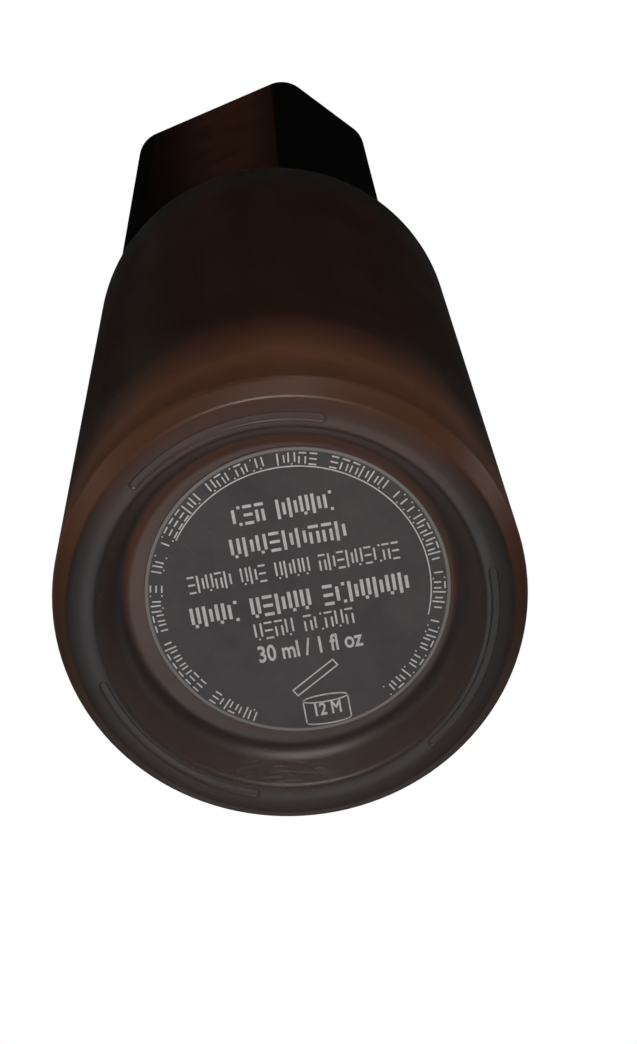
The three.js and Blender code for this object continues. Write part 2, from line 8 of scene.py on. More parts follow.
import logging
import math
import random
from contextlib import contextmanager
from dataclasses import dataclass, field
from enum import Enum
from typing import Any, Iterator, Sequence

import bpy
from mathutils import Matrix, Quaternion, Vector


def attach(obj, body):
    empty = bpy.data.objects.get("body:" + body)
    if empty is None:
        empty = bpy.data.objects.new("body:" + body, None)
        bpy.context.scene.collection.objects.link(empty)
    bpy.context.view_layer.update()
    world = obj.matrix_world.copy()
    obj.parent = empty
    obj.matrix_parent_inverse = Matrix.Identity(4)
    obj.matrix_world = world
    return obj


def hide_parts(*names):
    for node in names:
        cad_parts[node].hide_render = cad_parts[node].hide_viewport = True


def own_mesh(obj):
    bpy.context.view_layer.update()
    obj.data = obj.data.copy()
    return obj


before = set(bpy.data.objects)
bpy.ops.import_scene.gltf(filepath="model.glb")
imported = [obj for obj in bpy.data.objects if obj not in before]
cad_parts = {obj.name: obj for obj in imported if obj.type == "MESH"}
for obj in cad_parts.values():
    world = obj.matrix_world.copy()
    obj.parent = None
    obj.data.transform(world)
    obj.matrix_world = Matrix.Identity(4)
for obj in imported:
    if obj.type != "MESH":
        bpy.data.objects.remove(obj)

MM = 0.001
MERGE_DISTANCE = 1e-6  # metres
SCRATCH_EDGE = 0.04  # how softly a scratch fades, in steps of noise
log = logging.getLogger("foundation_bottle")


# ---------------------------------------------------------------- outlines


@dataclass(frozen=True)
class Corner:
    """A corner of an outline.

    Args:
        x: Distance along the outline's first axis, or the radius of a turned profile.
        y: Distance along its second axis, or the height of a turned profile.
        rounding: Radius of the arc that replaces the corner.
    """

    x: float
    y: float
    rounding: float = 0.0


def rounded(corners: Sequence[Corner], closed: bool, degrees_per_step: float = 9.0) -> list[Vector]:
    """Replaces the corners that have a rounding with arcs.

    Args:
        corners: The corners in order.
        closed: Whether the last corner joins the first.
        degrees_per_step: The most that an arc turns between two of its points.

    Returns:
        The outline's points, as flat vectors.
    """
    points: list[Vector] = []
    count = len(corners)
    for i, corner in enumerate(corners):
        here = Vector((corner.x, corner.y))
        at_end = not closed and i in (0, count - 1)
        if at_end or corner.rounding <= 0:
            points.append(here)
            continue
        before, after = corners[i - 1], corners[(i + 1) % count]
        arriving = (here - Vector((before.x, before.y))).normalized()
        leaving = (Vector((after.x, after.y)) - here).normalized()
        side = math.copysign(1.0, arriving.x * leaving.y - arriving.y * leaving.x)
        turn = math.acos(max(-1.0, min(1.0, arriving.dot(leaving))))
        start = here - arriving * corner.rounding * math.tan(turn / 2)
        centre = start + Vector((-arriving.y, arriving.x)) * side * corner.rounding
        steps = max(1, math.ceil(math.degrees(turn) / degrees_per_step))
        for step in range(steps + 1):
            spoke = Matrix.Rotation(side * turn * step / steps, 2) @ (start - centre)
            points.append(centre + spoke)
    return points


# ---------------------------------------------------------------- modelling


class Bench:
    """Blender's modelling operators, used on one piece at a time."""

    @staticmethod
    def only(piece: bpy.types.Object) -> None:
        """Selects one object alone and makes it active.

        Args:
            piece: The object.
        """
        bpy.ops.object.select_all(action="DESELECT")
        piece.select_set(True)
        bpy.context.view_layer.objects.active = piece

    @staticmethod
    @contextmanager
    def editing(piece: bpy.types.Object, kind: str = "VERT") -> Iterator[None]:
        """Edit mode on one object, left again at the end.

        Args:
            piece: The object to edit.
            kind: The select mode, VERT, EDGE or FACE.

        Yields:
            Nothing, while edit mode lasts.
        """
        Bench.only(piece)
        bpy.ops.object.mode_set(mode="EDIT")
        bpy.ops.mesh.select_mode(type=kind)
        yield
        bpy.ops.object.mode_set(mode="OBJECT")

    @staticmethod
    def named(name: str) -> bpy.types.Object:
        """Names the object just added and settles its place into its mesh.

        Args:
            name: The name of the object and its mesh.

        Returns:
            The object.
        """
        piece = bpy.context.active_object
        piece.name = piece.data.name = name
        bpy.ops.object.transform_apply(location=True, rotation=True, scale=True)
        return piece

    @staticmethod
    def wire(name: str, points: Sequence[Vector], closed: bool) -> bpy.types.Object:
        """Draws a chain of edges by extruding one corner from point to point.

        Args:
            name: The object's name.
            points: The chain's points, in metres.
            closed: Whether the chain returns to its first point.

        Returns:
            The object that holds the chain.
        """
        bpy.ops.object.select_all(action="DESELECT")
        bpy.ops.mesh.primitive_plane_add(size=MM, location=points[0])
        piece = Bench.named(name)
        path = [*points, points[0]] if closed else list(points)
        with Bench.editing(piece):
            bpy.ops.mesh.select_all(action="SELECT")
            bpy.ops.mesh.merge(type="CENTER")
            for before, after in zip(path, path[1:]):
                bpy.ops.mesh.extrude_vertices_move(TRANSFORM_OT_translate={"value": after - before})
            bpy.ops.mesh.select_all(action="SELECT")
            bpy.ops.mesh.remove_doubles(threshold=MERGE_DISTANCE)
        return piece

    @staticmethod
    def weld(piece: bpy.types.Object) -> None:
        """Merges doubled corners and turns every face outwards.

        Args:
            piece: The piece.
        """
        with Bench.editing(piece):
            bpy.ops.mesh.select_all(action="SELECT")
            bpy.ops.mesh.remove_doubles(threshold=MERGE_DISTANCE)
            bpy.ops.mesh.normals_make_consistent(inside=False)
        volume = sum(face.center.dot(face.normal) * face.area for face in piece.data.polygons)
        if volume < 0:
            with Bench.editing(piece):
                bpy.ops.mesh.select_all(action="SELECT")
                bpy.ops.mesh.flip_normals()

    @staticmethod
    def turned(name: str, corners: Sequence[Corner], closed: bool, steps: int = 128) -> bpy.types.Object:
        """Spins a profile of radii and heights round the bottle's axis.

        Args:
            name: The object's name.
            corners: The profile.
            closed: Whether the profile returns to its start, as a ring's does. An open one starts and
                ends on the axis.
            steps: How many steps the full turn takes.

        Returns:
            A closed mesh.
        """
        outline = rounded(corners, closed)
        piece = Bench.wire(name, [Vector((p.x * MM, 0, p.y * MM)) for p in outline], closed)
        with Bench.editing(piece):
            bpy.ops.mesh.select_all(action="SELECT")
            bpy.ops.mesh.spin(steps=steps, angle=2 * math.pi, center=(0, 0, 0), axis=(0, 0, 1))
        Bench.weld(piece)
        return piece

    @staticmethod
    def screwed(section: bpy.types.Object, turns: float, pitch: float, steps: int) -> bpy.types.Object:
        """Carries a closed section along a screw line about the bottle's axis, and closes its ends.

        Args:
            section: A ring of edges.
            turns: Number of turns.
            pitch: Rise in one turn.
            steps: Steps in one turn.

        Returns:
            The same object as a closed mesh.
        """
        screw = section.modifiers.new("screw", "SCREW")
        screw.axis = "Z"
        screw.angle = 2 * math.pi * turns
        screw.screw_offset = pitch * turns * MM
        screw.steps = screw.render_steps = round(steps * turns)
        Bench.only(section)
        bpy.ops.object.modifier_apply(modifier=screw.name)
        with Bench.editing(section):
            bpy.ops.mesh.select_all(action="SELECT")
            bpy.ops.mesh.fill_holes(sides=0)
        Bench.weld(section)
        return section

    @staticmethod
    def block(name: str, outline: Sequence[Vector], bottom: float, top: float) -> bpy.types.Object:
        """Raises a flat closed outline into a block.

        Args:
            name: The object's name.
            outline: Points of the plan.
            bottom: Height of the underside.
            top: Height of the upper side.

        Returns:
            A closed block.
        """
        piece = Bench.wire(name, [Vector((p.x, p.y, bottom)) * MM for p in outline], True)
        with Bench.editing(piece):
            bpy.ops.mesh.select_all(action="SELECT")
            bpy.ops.mesh.edge_face_add()
            bpy.ops.mesh.extrude_region_move(TRANSFORM_OT_translate={"value": (0, 0, (top - bottom) * MM)})
        Bench.weld(piece)
        return piece

    @staticmethod
    def bar(name: str, radius: float, start: Vector, end: Vector, sides: int = 48) -> bpy.types.Object:
        """A round bar between two points.

        Args:
            name: The object's name.
            radius: Its radius.
            start: One end, in millimetres.
            end: The other end.
            sides: Its number of sides.

        Returns:
            The bar.
        """
        along = end - start
        bpy.ops.object.select_all(action="DESELECT")
        bpy.ops.mesh.primitive_cylinder_add(
            vertices=sides,
            radius=radius * MM,
            depth=along.length * MM,
            location=(start + end) / 2 * MM,
            rotation=along.to_track_quat("Z", "Y").to_euler(),
        )
        return Bench.named(name)

    @staticmethod
    def combine(piece: bpy.types.Object, tool: bpy.types.Object, operation: str = "DIFFERENCE") -> None:
        """Cuts, joins or intersects a piece with a tool, which is used up.

        Args:
            piece: The piece that stays.
            tool: The solid that is taken away, added or kept in common.
            operation: DIFFERENCE, UNION or INTERSECT.
        """
        modifier = piece.modifiers.new("combine", "BOOLEAN")
        modifier.operation = operation
        modifier.solver = "EXACT"
        modifier.object = tool
        Bench.only(piece)
        bpy.ops.object.modifier_apply(modifier=modifier.name)
        bpy.data.objects.remove(tool, do_unlink=True)

    @staticmethod
    def soften(piece: bpy.types.Object, width: float, segments: int = 3, sharper_than: float = 35.0) -> None:
        """Rounds every edge that is sharper than an angle.

        Args:
            piece: The piece.
            width: Width of the rounding.
            segments: Its number of segments.
            sharper_than: The angle in degrees.
        """
        modifier = piece.modifiers.new("soften", "BEVEL")
        modifier.width = width * MM
        modifier.segments = segments
        modifier.limit_method = "ANGLE"
        modifier.angle_limit = math.radians(sharper_than)
        modifier.use_clamp_overlap = True
        Bench.only(piece)
        bpy.ops.object.modifier_apply(modifier=modifier.name)

    @staticmethod
    def smooth(piece: bpy.types.Object, angle: float = 32.0) -> None:
        """Shades a piece smooth, apart from its sharp edges, and keeps its flat faces flat.

        Args:
            piece: The piece.
            angle: Edges sharper than this stay sharp, in degrees.
        """
        Bench.only(piece)
        bpy.ops.object.shade_smooth_by_angle(angle=math.radians(angle))
        modifier = piece.modifiers.new("flats", "WEIGHTED_NORMAL")
        modifier.keep_sharp = True
        bpy.ops.object.modifier_apply(modifier=modifier.name)

    @staticmethod
    def joined(name: str, pieces: Sequence[bpy.types.Object]) -> bpy.types.Object:
        """Joins several objects into one.

        Args:
            name: Name of the result.
            pieces: The objects, of which the first stays.

        Returns:
            The joined object.
        """
        bpy.ops.object.select_all(action="DESELECT")
        for piece in pieces:
            piece.select_set(True)
        bpy.context.view_layer.objects.active = pieces[0]
        if len(pieces) > 1:
            bpy.ops.object.join()
        return Bench.named(name)


# ---------------------------------------------------------------- shader graphs


class Value:
    """A number that varies over a surface. Arithmetic on it adds Math nodes."""

    def __init__(self, graph: "Graph", socket: bpy.types.NodeSocket) -> None:
        """Wraps an output socket of a graph."""
        self.graph = graph
        self.socket = socket

    def _math(self, operation: str, *inputs: Any, clamp: bool = False) -> "Value":
        """Adds a Math node on values or numbers, in the order given.

        Args:
            operation: The node's operation.
            inputs: Values or numbers.
            clamp: Whether the result is held between 0 and 1.

        Returns:
            The result.
        """
        node = self.graph.node(
            "ShaderNodeMath", {"operation": operation, "use_clamp": clamp}, dict(enumerate(inputs))
        )
        return Value(self.graph, node.outputs[0])

    def __add__(self, other: Any) -> "Value":
        """self + other."""
        return self._math("ADD", self, other)

    def __radd__(self, other: Any) -> "Value":
        """other + self."""
        return self._math("ADD", other, self)

    def __sub__(self, other: Any) -> "Value":
        """self - other."""
        return self._math("SUBTRACT", self, other)

    def __rsub__(self, other: Any) -> "Value":
        """other - self."""
        return self._math("SUBTRACT", other, self)

    def __mul__(self, other: Any) -> "Value":
        """self * other."""
        return self._math("MULTIPLY", self, other)

    def __rmul__(self, other: Any) -> "Value":
        """other * self."""
        return self._math("MULTIPLY", other, self)

    def __truediv__(self, other: Any) -> "Value":
        """self / other."""
        return self._math("DIVIDE", self, other)

    def size(self) -> "Value":
        """The value without its sign."""
        return self._math("ABSOLUTE", self)

    def root(self) -> "Value":
        """The square root."""
        return self._math("SQRT", self)

    def step(self, low: float, high: float) -> "Value":
        """A ramp from 0 at low to 1 at high, or falling if low is above high."""
        return self._math("MULTIPLY_ADD", self, 1 / (high - low), -low / (high - low), clamp=True)

    def band(self, middle: float, half: float, edge: float) -> "Value":
        """1 within half of a middle value, fading to 0 over an edge."""
        return (self - middle).size().step(half + edge, half)


class Graph:
    """The node graph of a material, or of the world."""

    def __init__(self, name: str, world: bool = False) -> None:
        """Starts a material, or a world, with an empty graph.

        Args:
            name: Its name.
            world: Whether it is a world.
        """
        self.owner = (bpy.data.worlds if world else bpy.data.materials).new(name)
        self.owner.use_nodes = True
        self.tree = self.owner.node_tree
        self.tree.nodes.clear()

    def node(self, kind: str, settings: dict[str, Any], inputs: dict[Any, Any]) -> bpy.types.Node:
        """Adds a node.

        Args:
            kind: The node's type.
            settings: Its properties, set before its sockets.
            inputs: Values or links by socket name or number.

        Returns:
            The node.
        """
        node = self.tree.nodes.new(kind)
        for key, setting in settings.items():
            setattr(node, key, setting)
        for key, given in inputs.items():
            if isinstance(given, Value):
                self.tree.links.new(given.socket, node.inputs[key])
            elif isinstance(given, bpy.types.NodeSocket):
                self.tree.links.new(given, node.inputs[key])
            else:
                node.inputs[key].default_value = given
        return node

    def place(self) -> bpy.types.NodeSocket:
        """The surface point in the object's own coordinates, in metres."""
        return self.node("ShaderNodeTexCoord", {}, {}).outputs["Object"]

    def moved(
        self, offset: Vector, turn: float = 0.0, stretch: Sequence[float] = (1, 1, 1)
    ) -> bpy.types.NodeSocket:
        """Object coordinates moved, turned about Z and stretched.

        Args:
            offset: The point that becomes the origin, in millimetres.
            turn: Angle in radians.
            stretch: Factors along X, Y and Z.

        Returns:
            The coordinates.
        """
        node = self.node(
            "ShaderNodeMapping",
            {"vector_type": "TEXTURE"},
            {"Vector": self.place(), "Location": offset * MM, "Rotation": (0, 0, turn)},
        )
        scaled = self.node(
            "ShaderNodeVectorMath", {"operation": "MULTIPLY"}, {0: node.outputs[0], 1: tuple(stretch)}
        )
        return scaled.outputs[0]

    def parts(self, coordinates: bpy.types.NodeSocket) -> tuple[Value, Value, Value]:
        """The X, Y and Z of coordinates, in millimetres.

        Args:
            coordinates: Coordinates in metres.

        Returns:
            The three values.
        """
        node = self.node("ShaderNodeSeparateXYZ", {}, {"Vector": coordinates})
        x, y, z = (Value(self, socket) / MM for socket in node.outputs)
        return x, y, z

    def noise(
        self, size: float, detail: float = 3.0, roughness: float = 0.5, coordinates: Any = None
    ) -> Value:
        """Noise between 0 and 1.

        Args:
            size: Size of its features in millimetres.
            detail: Number of finer layers.
            roughness: Strength of the finer layers.
            coordinates: Where it is read, by default the object's coordinates.

        Returns:
            The noise.
        """
        node = self.node(
            "ShaderNodeTexNoise",
            {"noise_dimensions": "3D"},
            {
                "Vector": coordinates if coordinates is not None else self.place(),
                "Scale": 1 / (size * MM),
                "Detail": detail,
                "Roughness": roughness,
            },
        )
        return Value(self, node.outputs[0])

    def scratches(self, length: float, width: float, turn: float, rarity: float) -> Value:
        """Fine straight scratches in one direction across XY.

        Args:
            length: Rough length of a scratch in millimetres.
            width: Rough width.
            turn: Direction in radians.
            rarity: How rare they are, from 0.6, everywhere, to 0.8, hardly any.

        Returns:
            1 on a scratch and 0 off it.
        """
        stretch = (1 / length, 1 / width, 1 / length)
        lines = self.noise(1.0, 1.0, 0.4, self.moved(Vector((0, 0, 0)), turn, stretch))
        return lines.step(rarity, rarity + SCRATCH_EDGE)

    def mix(self, factor: Any, first: Any, second: Any) -> bpy.types.NodeSocket:
        """Mixes two colours.

        Args:
            factor: 0 for the first colour and 1 for the second.
            first: A colour, or a link to one.
            second: The other colour.

        Returns:
            The mixed colour.
        """
        node = self.node(
            "ShaderNodeMix", {"data_type": "RGBA", "clamp_factor": True}, {0: factor, 6: first, 7: second}
        )
        return node.outputs[2]

    def bump(self, height: Value, depth: float, under: Any = None) -> bpy.types.NodeSocket:
        """A normal bent by a height between 0 and 1.

        Args:
            height: The height.
            depth: The height's full size in millimetres.
            under: A normal to start from.

        Returns:
            The bent normal.
        """
        inputs: dict[str, Any] = {"Height": height, "Distance": depth * MM, "Strength": 1.0}
        if under is not None:
            inputs["Normal"] = under
        return self.node("ShaderNodeBump", {}, inputs).outputs[0]

    def shader(self, **inputs: Any) -> bpy.types.NodeSocket:
        """Adds a Principled shader.

        Args:
            inputs: The shader's sockets, with _ for a space.

        Returns:
            The shader's output.
        """
        named = {key.replace("_", " "): given for key, given in inputs.items()}
        return self.node("ShaderNodeBsdfPrincipled", {}, named).outputs[0]

    def blend(self, factor: Value, first: Any, second: Any) -> bpy.types.NodeSocket:
        """Mixes two shaders."""
        return self.node("ShaderNodeMixShader", {}, {0: factor, 1: first, 2: second}).outputs[0]

    def finish(self, shader: bpy.types.NodeSocket) -> bpy.types.Material:
        """Ends the graph in a shader and returns the material."""
        self.node("ShaderNodeOutputMaterial", {}, {"Surface": shader})
        return self.owner

    def surface(self, **inputs: Any) -> bpy.types.Material:
        """Ends the graph in one Principled shader with these sockets and returns the material."""
        return self.finish(self.shader(**inputs))


Colour = tuple[float, float, float, float]


def grey(level: float) -> Colour:
    """An even grey."""
    return (level, level, level, 1.0)


# ---------------------------------------------------------------- finishes


class Slot(Enum):
    """The record's material slots."""

    GLASS = "clear_glass"
    LABEL = "label_film"
    SEAL = "soft_seal"
    GLOSS_BLACK = "black_gloss_plastic"
    SATIN_BLACK = "black_satin_plastic"
    NATURAL = "natural_plastic"
    WHITE = "white_plastic"
    LIQUID = "foundation_liquid"
    STEEL = "spring_steel"


@dataclass(frozen=True)
class BottleGlass:
    """Clear flint glass with a soft surface, moulding ripples and a handled foot."""

    slot: Slot = Slot.GLASS
    tint: Colour = (0.93, 0.9, 0.88, 1.0)
    haze: Colour = (0.8, 0.76, 0.73, 1.0)
    frost: Colour = (0.026, 0.024, 0.0245, 1.0)
    dust: Colour = (0.13, 0.12, 0.12, 1.0)
    frosting: float = 0.45
    frost_radius: float = 14.9
    index: float = 1.5
    roughness: float = 0.34
    knocked: tuple[float, float, float] = (-1.0, 12.0, 0.0)
    ripple: float = 0.012

    def build(self) -> bpy.types.Material:
        """Makes the material.

        Returns:
            The material.
        """
        graph = Graph("bottle_glass")
        x, y, height = graph.parts(graph.place())
        handled = graph.noise(7.0, 4.0, 0.6).step(0.45, 0.75)
        foot = height.step(3.2, 0.0)
        aside, away, _ = graph.parts(graph.moved(Vector(self.knocked)))
        knock = (aside * aside * 0.25 + away * away).root().step(2.4, 0.8)
        scuffs = graph.scratches(2.4, 0.05, 0.3, 0.72) + graph.scratches(1.7, 0.045, 1.9, 0.74)
        deep = graph.scratches(1.6, 0.09, 0.05, 0.56) + graph.scratches(0.8, 0.07, 1.2, 0.64)
        worn = (scuffs * foot + deep * foot * knock).step(0.0, 1.0)
        roughness = self.roughness + handled * 0.07 + worn * 0.25
        ripples = graph.noise(3.5, 2.0, 0.45)
        normal = graph.bump(ripples, self.ripple)
        normal = graph.bump(worn, 0.006, normal)
        clear = graph.shader(
            Base_Color=graph.mix(handled * 0.5 + worn * 0.5, self.tint, self.haze),
            Roughness=roughness,
            IOR=self.index,
            Transmission_Weight=1.0,
            Normal=normal,
        )
        dust = graph.noise(0.25, 3.0, 0.6)
        frost = graph.shader(
            Base_Color=graph.mix(dust * 0.6 + worn * 0.8, self.frost, self.dust),
            Roughness=0.45 + dust * 0.1,
            Normal=normal,
        )
        reach = (x * x + y * y).root()
        base = height.step(3.4, 2.2) * reach.step(self.frost_radius + 0.7, self.frost_radius)
        cover = base * (self.frosting + handled * 0.12 + worn * 0.3)
        return graph.finish(graph.blend(cover, clear, frost))


@dataclass(frozen=True)
class LiquidFoundation:
    """Opaque dark cream that wets the glass, with slow streaks where it has run down, and a painted glow: it
    is warmer and lighter towards the bottom, where light comes in through the thick base.
    """

    slot: Slot = Slot.LIQUID
    deep: Colour = (0.027, 0.0112, 0.0068, 1.0)
    # warm colours the real streaks and also the painted glow near the bottom
    warm: Colour = (0.142, 0.056, 0.028, 1.0)
    roughness: float = 0.45

    def build(self) -> bpy.types.Material:
        """Makes the material.

        Returns:
            The material.
        """
        graph = Graph("liquid_foundation")
        _, _, height = graph.parts(graph.place())
        runs = graph.noise(3.0, 3.0, 0.55, graph.moved(Vector((0, 0, 0)), 0.0, (1, 1, 0.12)))
        clouds = graph.noise(9.0, 3.0, 0.5)
        # painted glow: from 20 mm down to 11 mm the liquid turns to the warm colour, standing in for light
        # that comes through the base
        low = height.step(20.0, 11.0)
        factor = (runs * 0.3 + clouds * 0.25 + low * 0.75).step(0.25, 1.1)
        return graph.surface(
            Base_Color=graph.mix(factor, self.deep, self.warm),
            Specular_IOR_Level=0.0,
            Roughness=self.roughness + runs * 0.1,
            Normal=graph.bump(clouds, 0.05),
        )


@dataclass(frozen=True)
class LabelFilm:
    """Charcoal film with fine grain, smudges and a thin pale rim."""

    slot: Slot = Slot.LABEL
    middle: tuple[float, float, float] = (0.55, -0.36, 0.0)
    radius: float = 10.7
    film: Colour = (0.055, 0.05, 0.0535, 1.0)
    worn: Colour = (0.13, 0.12, 0.125, 1.0)
    rim: Colour = (0.36, 0.33, 0.32, 1.0)
    rim_width: float = 0.16

    def build(self) -> bpy.types.Material:
        """Makes the material.

        Returns:
            The material.
        """
        graph = Graph("label_film")
        x, y, _ = graph.parts(graph.moved(Vector(self.middle)))
        reach = (x * x + y * y).root()
        grain = graph.noise(0.16, 2.0, 0.6)
        smudge = graph.noise(4.5, 4.0, 0.6)
        scuffs = graph.scratches(3.0, 0.06, 0.9, 0.75)
        base = graph.mix(smudge.step(0.3, 0.8) * 0.8 + grain * 0.2, self.film, self.worn)
        base = graph.mix(scuffs * 0.3, base, self.rim)
        edge = reach.band(self.radius - self.rim_width, self.rim_width / 2, 0.06)
        return graph.surface(
            Base_Color=graph.mix(edge * 0.8, base, self.rim),
            Roughness=0.42 + smudge * 0.16,
            Normal=graph.bump(grain, 0.004),
        )


@dataclass(frozen=True)
class PrintInk:
    """Pale ink, a little uneven."""

    slot: Slot = Slot.LABEL
    full: Colour = (0.97, 0.95, 0.95, 1.0)
    thin: Colour = (0.8, 0.78, 0.78, 1.0)

    def build(self) -> bpy.types.Material:
        """Makes the material.

        Returns:
            The material.
        """
        graph = Graph("print_ink")
        patches = graph.noise(0.5, 3.0, 0.6)
        return graph.surface(
            Base_Color=graph.mix(patches.step(0.35, 0.65), self.thin, self.full),
            Roughness=0.5 + patches * 0.15,
            Normal=graph.bump(graph.noise(0.12, 2.0), 0.002),
        )


@dataclass(frozen=True)
class MouldedPlastic:
    """Moulded plastic: polished, satin or milky, with flow marks, dust-fine grain and handling marks.

    Args:
        name: The material's name.
        slot: The record's slot; not used.
        base: Main colour.
        other: Colour of the flow marks and wear.
        roughness: Roughness of a clean patch.
        handling: How much rougher a handled patch is.
        grain: Depth of the fine grain.
        subsurface: Share of light that scatters inside.
        coat: Strength of a clear lacquer.
    """

    name: str
    slot: Slot
    base: Colour
    other: Colour
    roughness: float
    handling: float
    grain: float
    subsurface: float = 0.0
    coat: float = 0.0

    def build(self) -> bpy.types.Material:
        """Makes the material.

        Returns:
            The material.
        """
        graph = Graph(self.name)
        flow = graph.noise(6.0, 3.0, 0.5, graph.moved(Vector((0, 0, 0)), 0.4, (1, 1, 0.35)))
        touched = graph.noise(5.0, 5.0, 0.62).step(0.42, 0.72)
        hairlines = graph.scratches(9.0, 0.04, 0.7, 0.75) + graph.scratches(6.0, 0.035, 2.2, 0.77)
        fine = graph.noise(0.12, 2.0, 0.5)
        normal = graph.bump(fine, self.grain)
        normal = graph.bump(flow, self.grain * 2, normal)
        return graph.surface(
            Base_Color=graph.mix(flow.step(0.3, 0.7) * 0.6 + hairlines * 0.4, self.base, self.other),
            Roughness=self.roughness + touched * self.handling + hairlines * 0.12,
            Subsurface_Weight=self.subsurface,
            Subsurface_Radius=(0.001, 0.0009, 0.0008),
            Subsurface_Scale=1.0,
            Coat_Weight=self.coat,
            Coat_Roughness=0.04,
            Normal=normal,
        )


@dataclass(frozen=True)
class DrawnSteel:
    """Bright stainless steel with fine drawing lines."""

    slot: Slot = Slot.STEEL
    bright: Colour = (0.62, 0.62, 0.63, 1.0)
    dull: Colour = (0.4, 0.4, 0.41, 1.0)

    def build(self) -> bpy.types.Material:
        """Makes the material.

        Returns:
            The material.
        """
        graph = Graph("drawn_steel")
        lines = graph.noise(0.08, 2.0, 0.6, graph.moved(Vector((0, 0, 0)), 0.0, (1, 1, 4)))
        patina = graph.noise(1.5, 3.0, 0.5)
        return graph.surface(
            Base_Color=graph.mix(patina, self.bright, self.dull),
            Metallic=1.0,
            Roughness=0.16 + lines * 0.2,
            Normal=graph.bump(lines, 0.003),
        )


PIANO_BLACK = MouldedPlastic(
    "piano_black",
    Slot.GLOSS_BLACK,
    (0.0014, 0.0012, 0.0012, 1),
    (0.003, 0.0025, 0.0022, 1),
    0.13,
    0.07,
    0.0006,
)
SATIN_BLACK = MouldedPlastic(
    "satin_black", Slot.SATIN_BLACK, (0.011, 0.0105, 0.0105, 1), (0.018, 0.017, 0.017, 1), 0.34, 0.14, 0.006
)
MILKY = MouldedPlastic(
    "milky_polypropylene", Slot.NATURAL, (0.62, 0.6, 0.55, 1), (0.5, 0.48, 0.43, 1), 0.3, 0.1, 0.004, 0.35
)
WHITE = MouldedPlastic(
    "white_polypropylene", Slot.WHITE, (0.74, 0.73, 0.7, 1), (0.63, 0.62, 0.58, 1), 0.34, 0.1, 0.004, 0.15
)
FOAM = MouldedPlastic(
    "seal_foam", Slot.SEAL, (0.7, 0.68, 0.63, 1), (0.55, 0.53, 0.48, 1), 0.6, 0.15, 0.02, 0.3
)


class Wardrobe:
    """Makes each finish once and puts it on pieces."""

    def __init__(self) -> None:
        """Starts with no materials made."""
        self._made: dict[Any, bpy.types.Material] = {}

    def dress(self, piece: bpy.types.Object, finish: Any) -> None:
        """Puts a finish on every material slot of a piece.

        Args:
            piece: The piece.
            finish: One of the finishes above.
        """
        key = getattr(finish, "name", type(finish).__name__)
        if key not in self._made:
            self._made[key] = finish.build()
        if not piece.data.materials:
            piece.data.materials.append(self._made[key])
        for index in range(len(piece.material_slots)):
            piece.material_slots[index].material = self._made[key]


# ---------------------------------------------------------------- sub-assemblies


class SubAssembly:
    """Shared steps of the sub-assemblies."""

    wardrobe: Wardrobe

    def place(
        self, piece: bpy.types.Object, body: str, finish: Any, stands_for: Sequence[str] = ()
    ) -> bpy.types.Object:
        """Dresses a new piece and fixes it to its body.

        Args:
            piece: The piece.
            body: The body that carries it.
            finish: Its finish.
            stands_for: The frame's nodes that it replaces.

        Returns:
            The piece.
        """
        Bench.smooth(piece)
        self.wardrobe.dress(piece, finish)
        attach(piece, body)
        if stands_for:
            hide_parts(*stands_for)
        log.info("%s rides on %s: %d faces", piece.name, body, len(piece.data.polygons))
        return piece

    def keep(self, node: str, finish: Any) -> None:
        """Gives a node of the frame its finish."""
        self.wardrobe.dress(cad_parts[node], finish)
        log.info("%s kept", node)


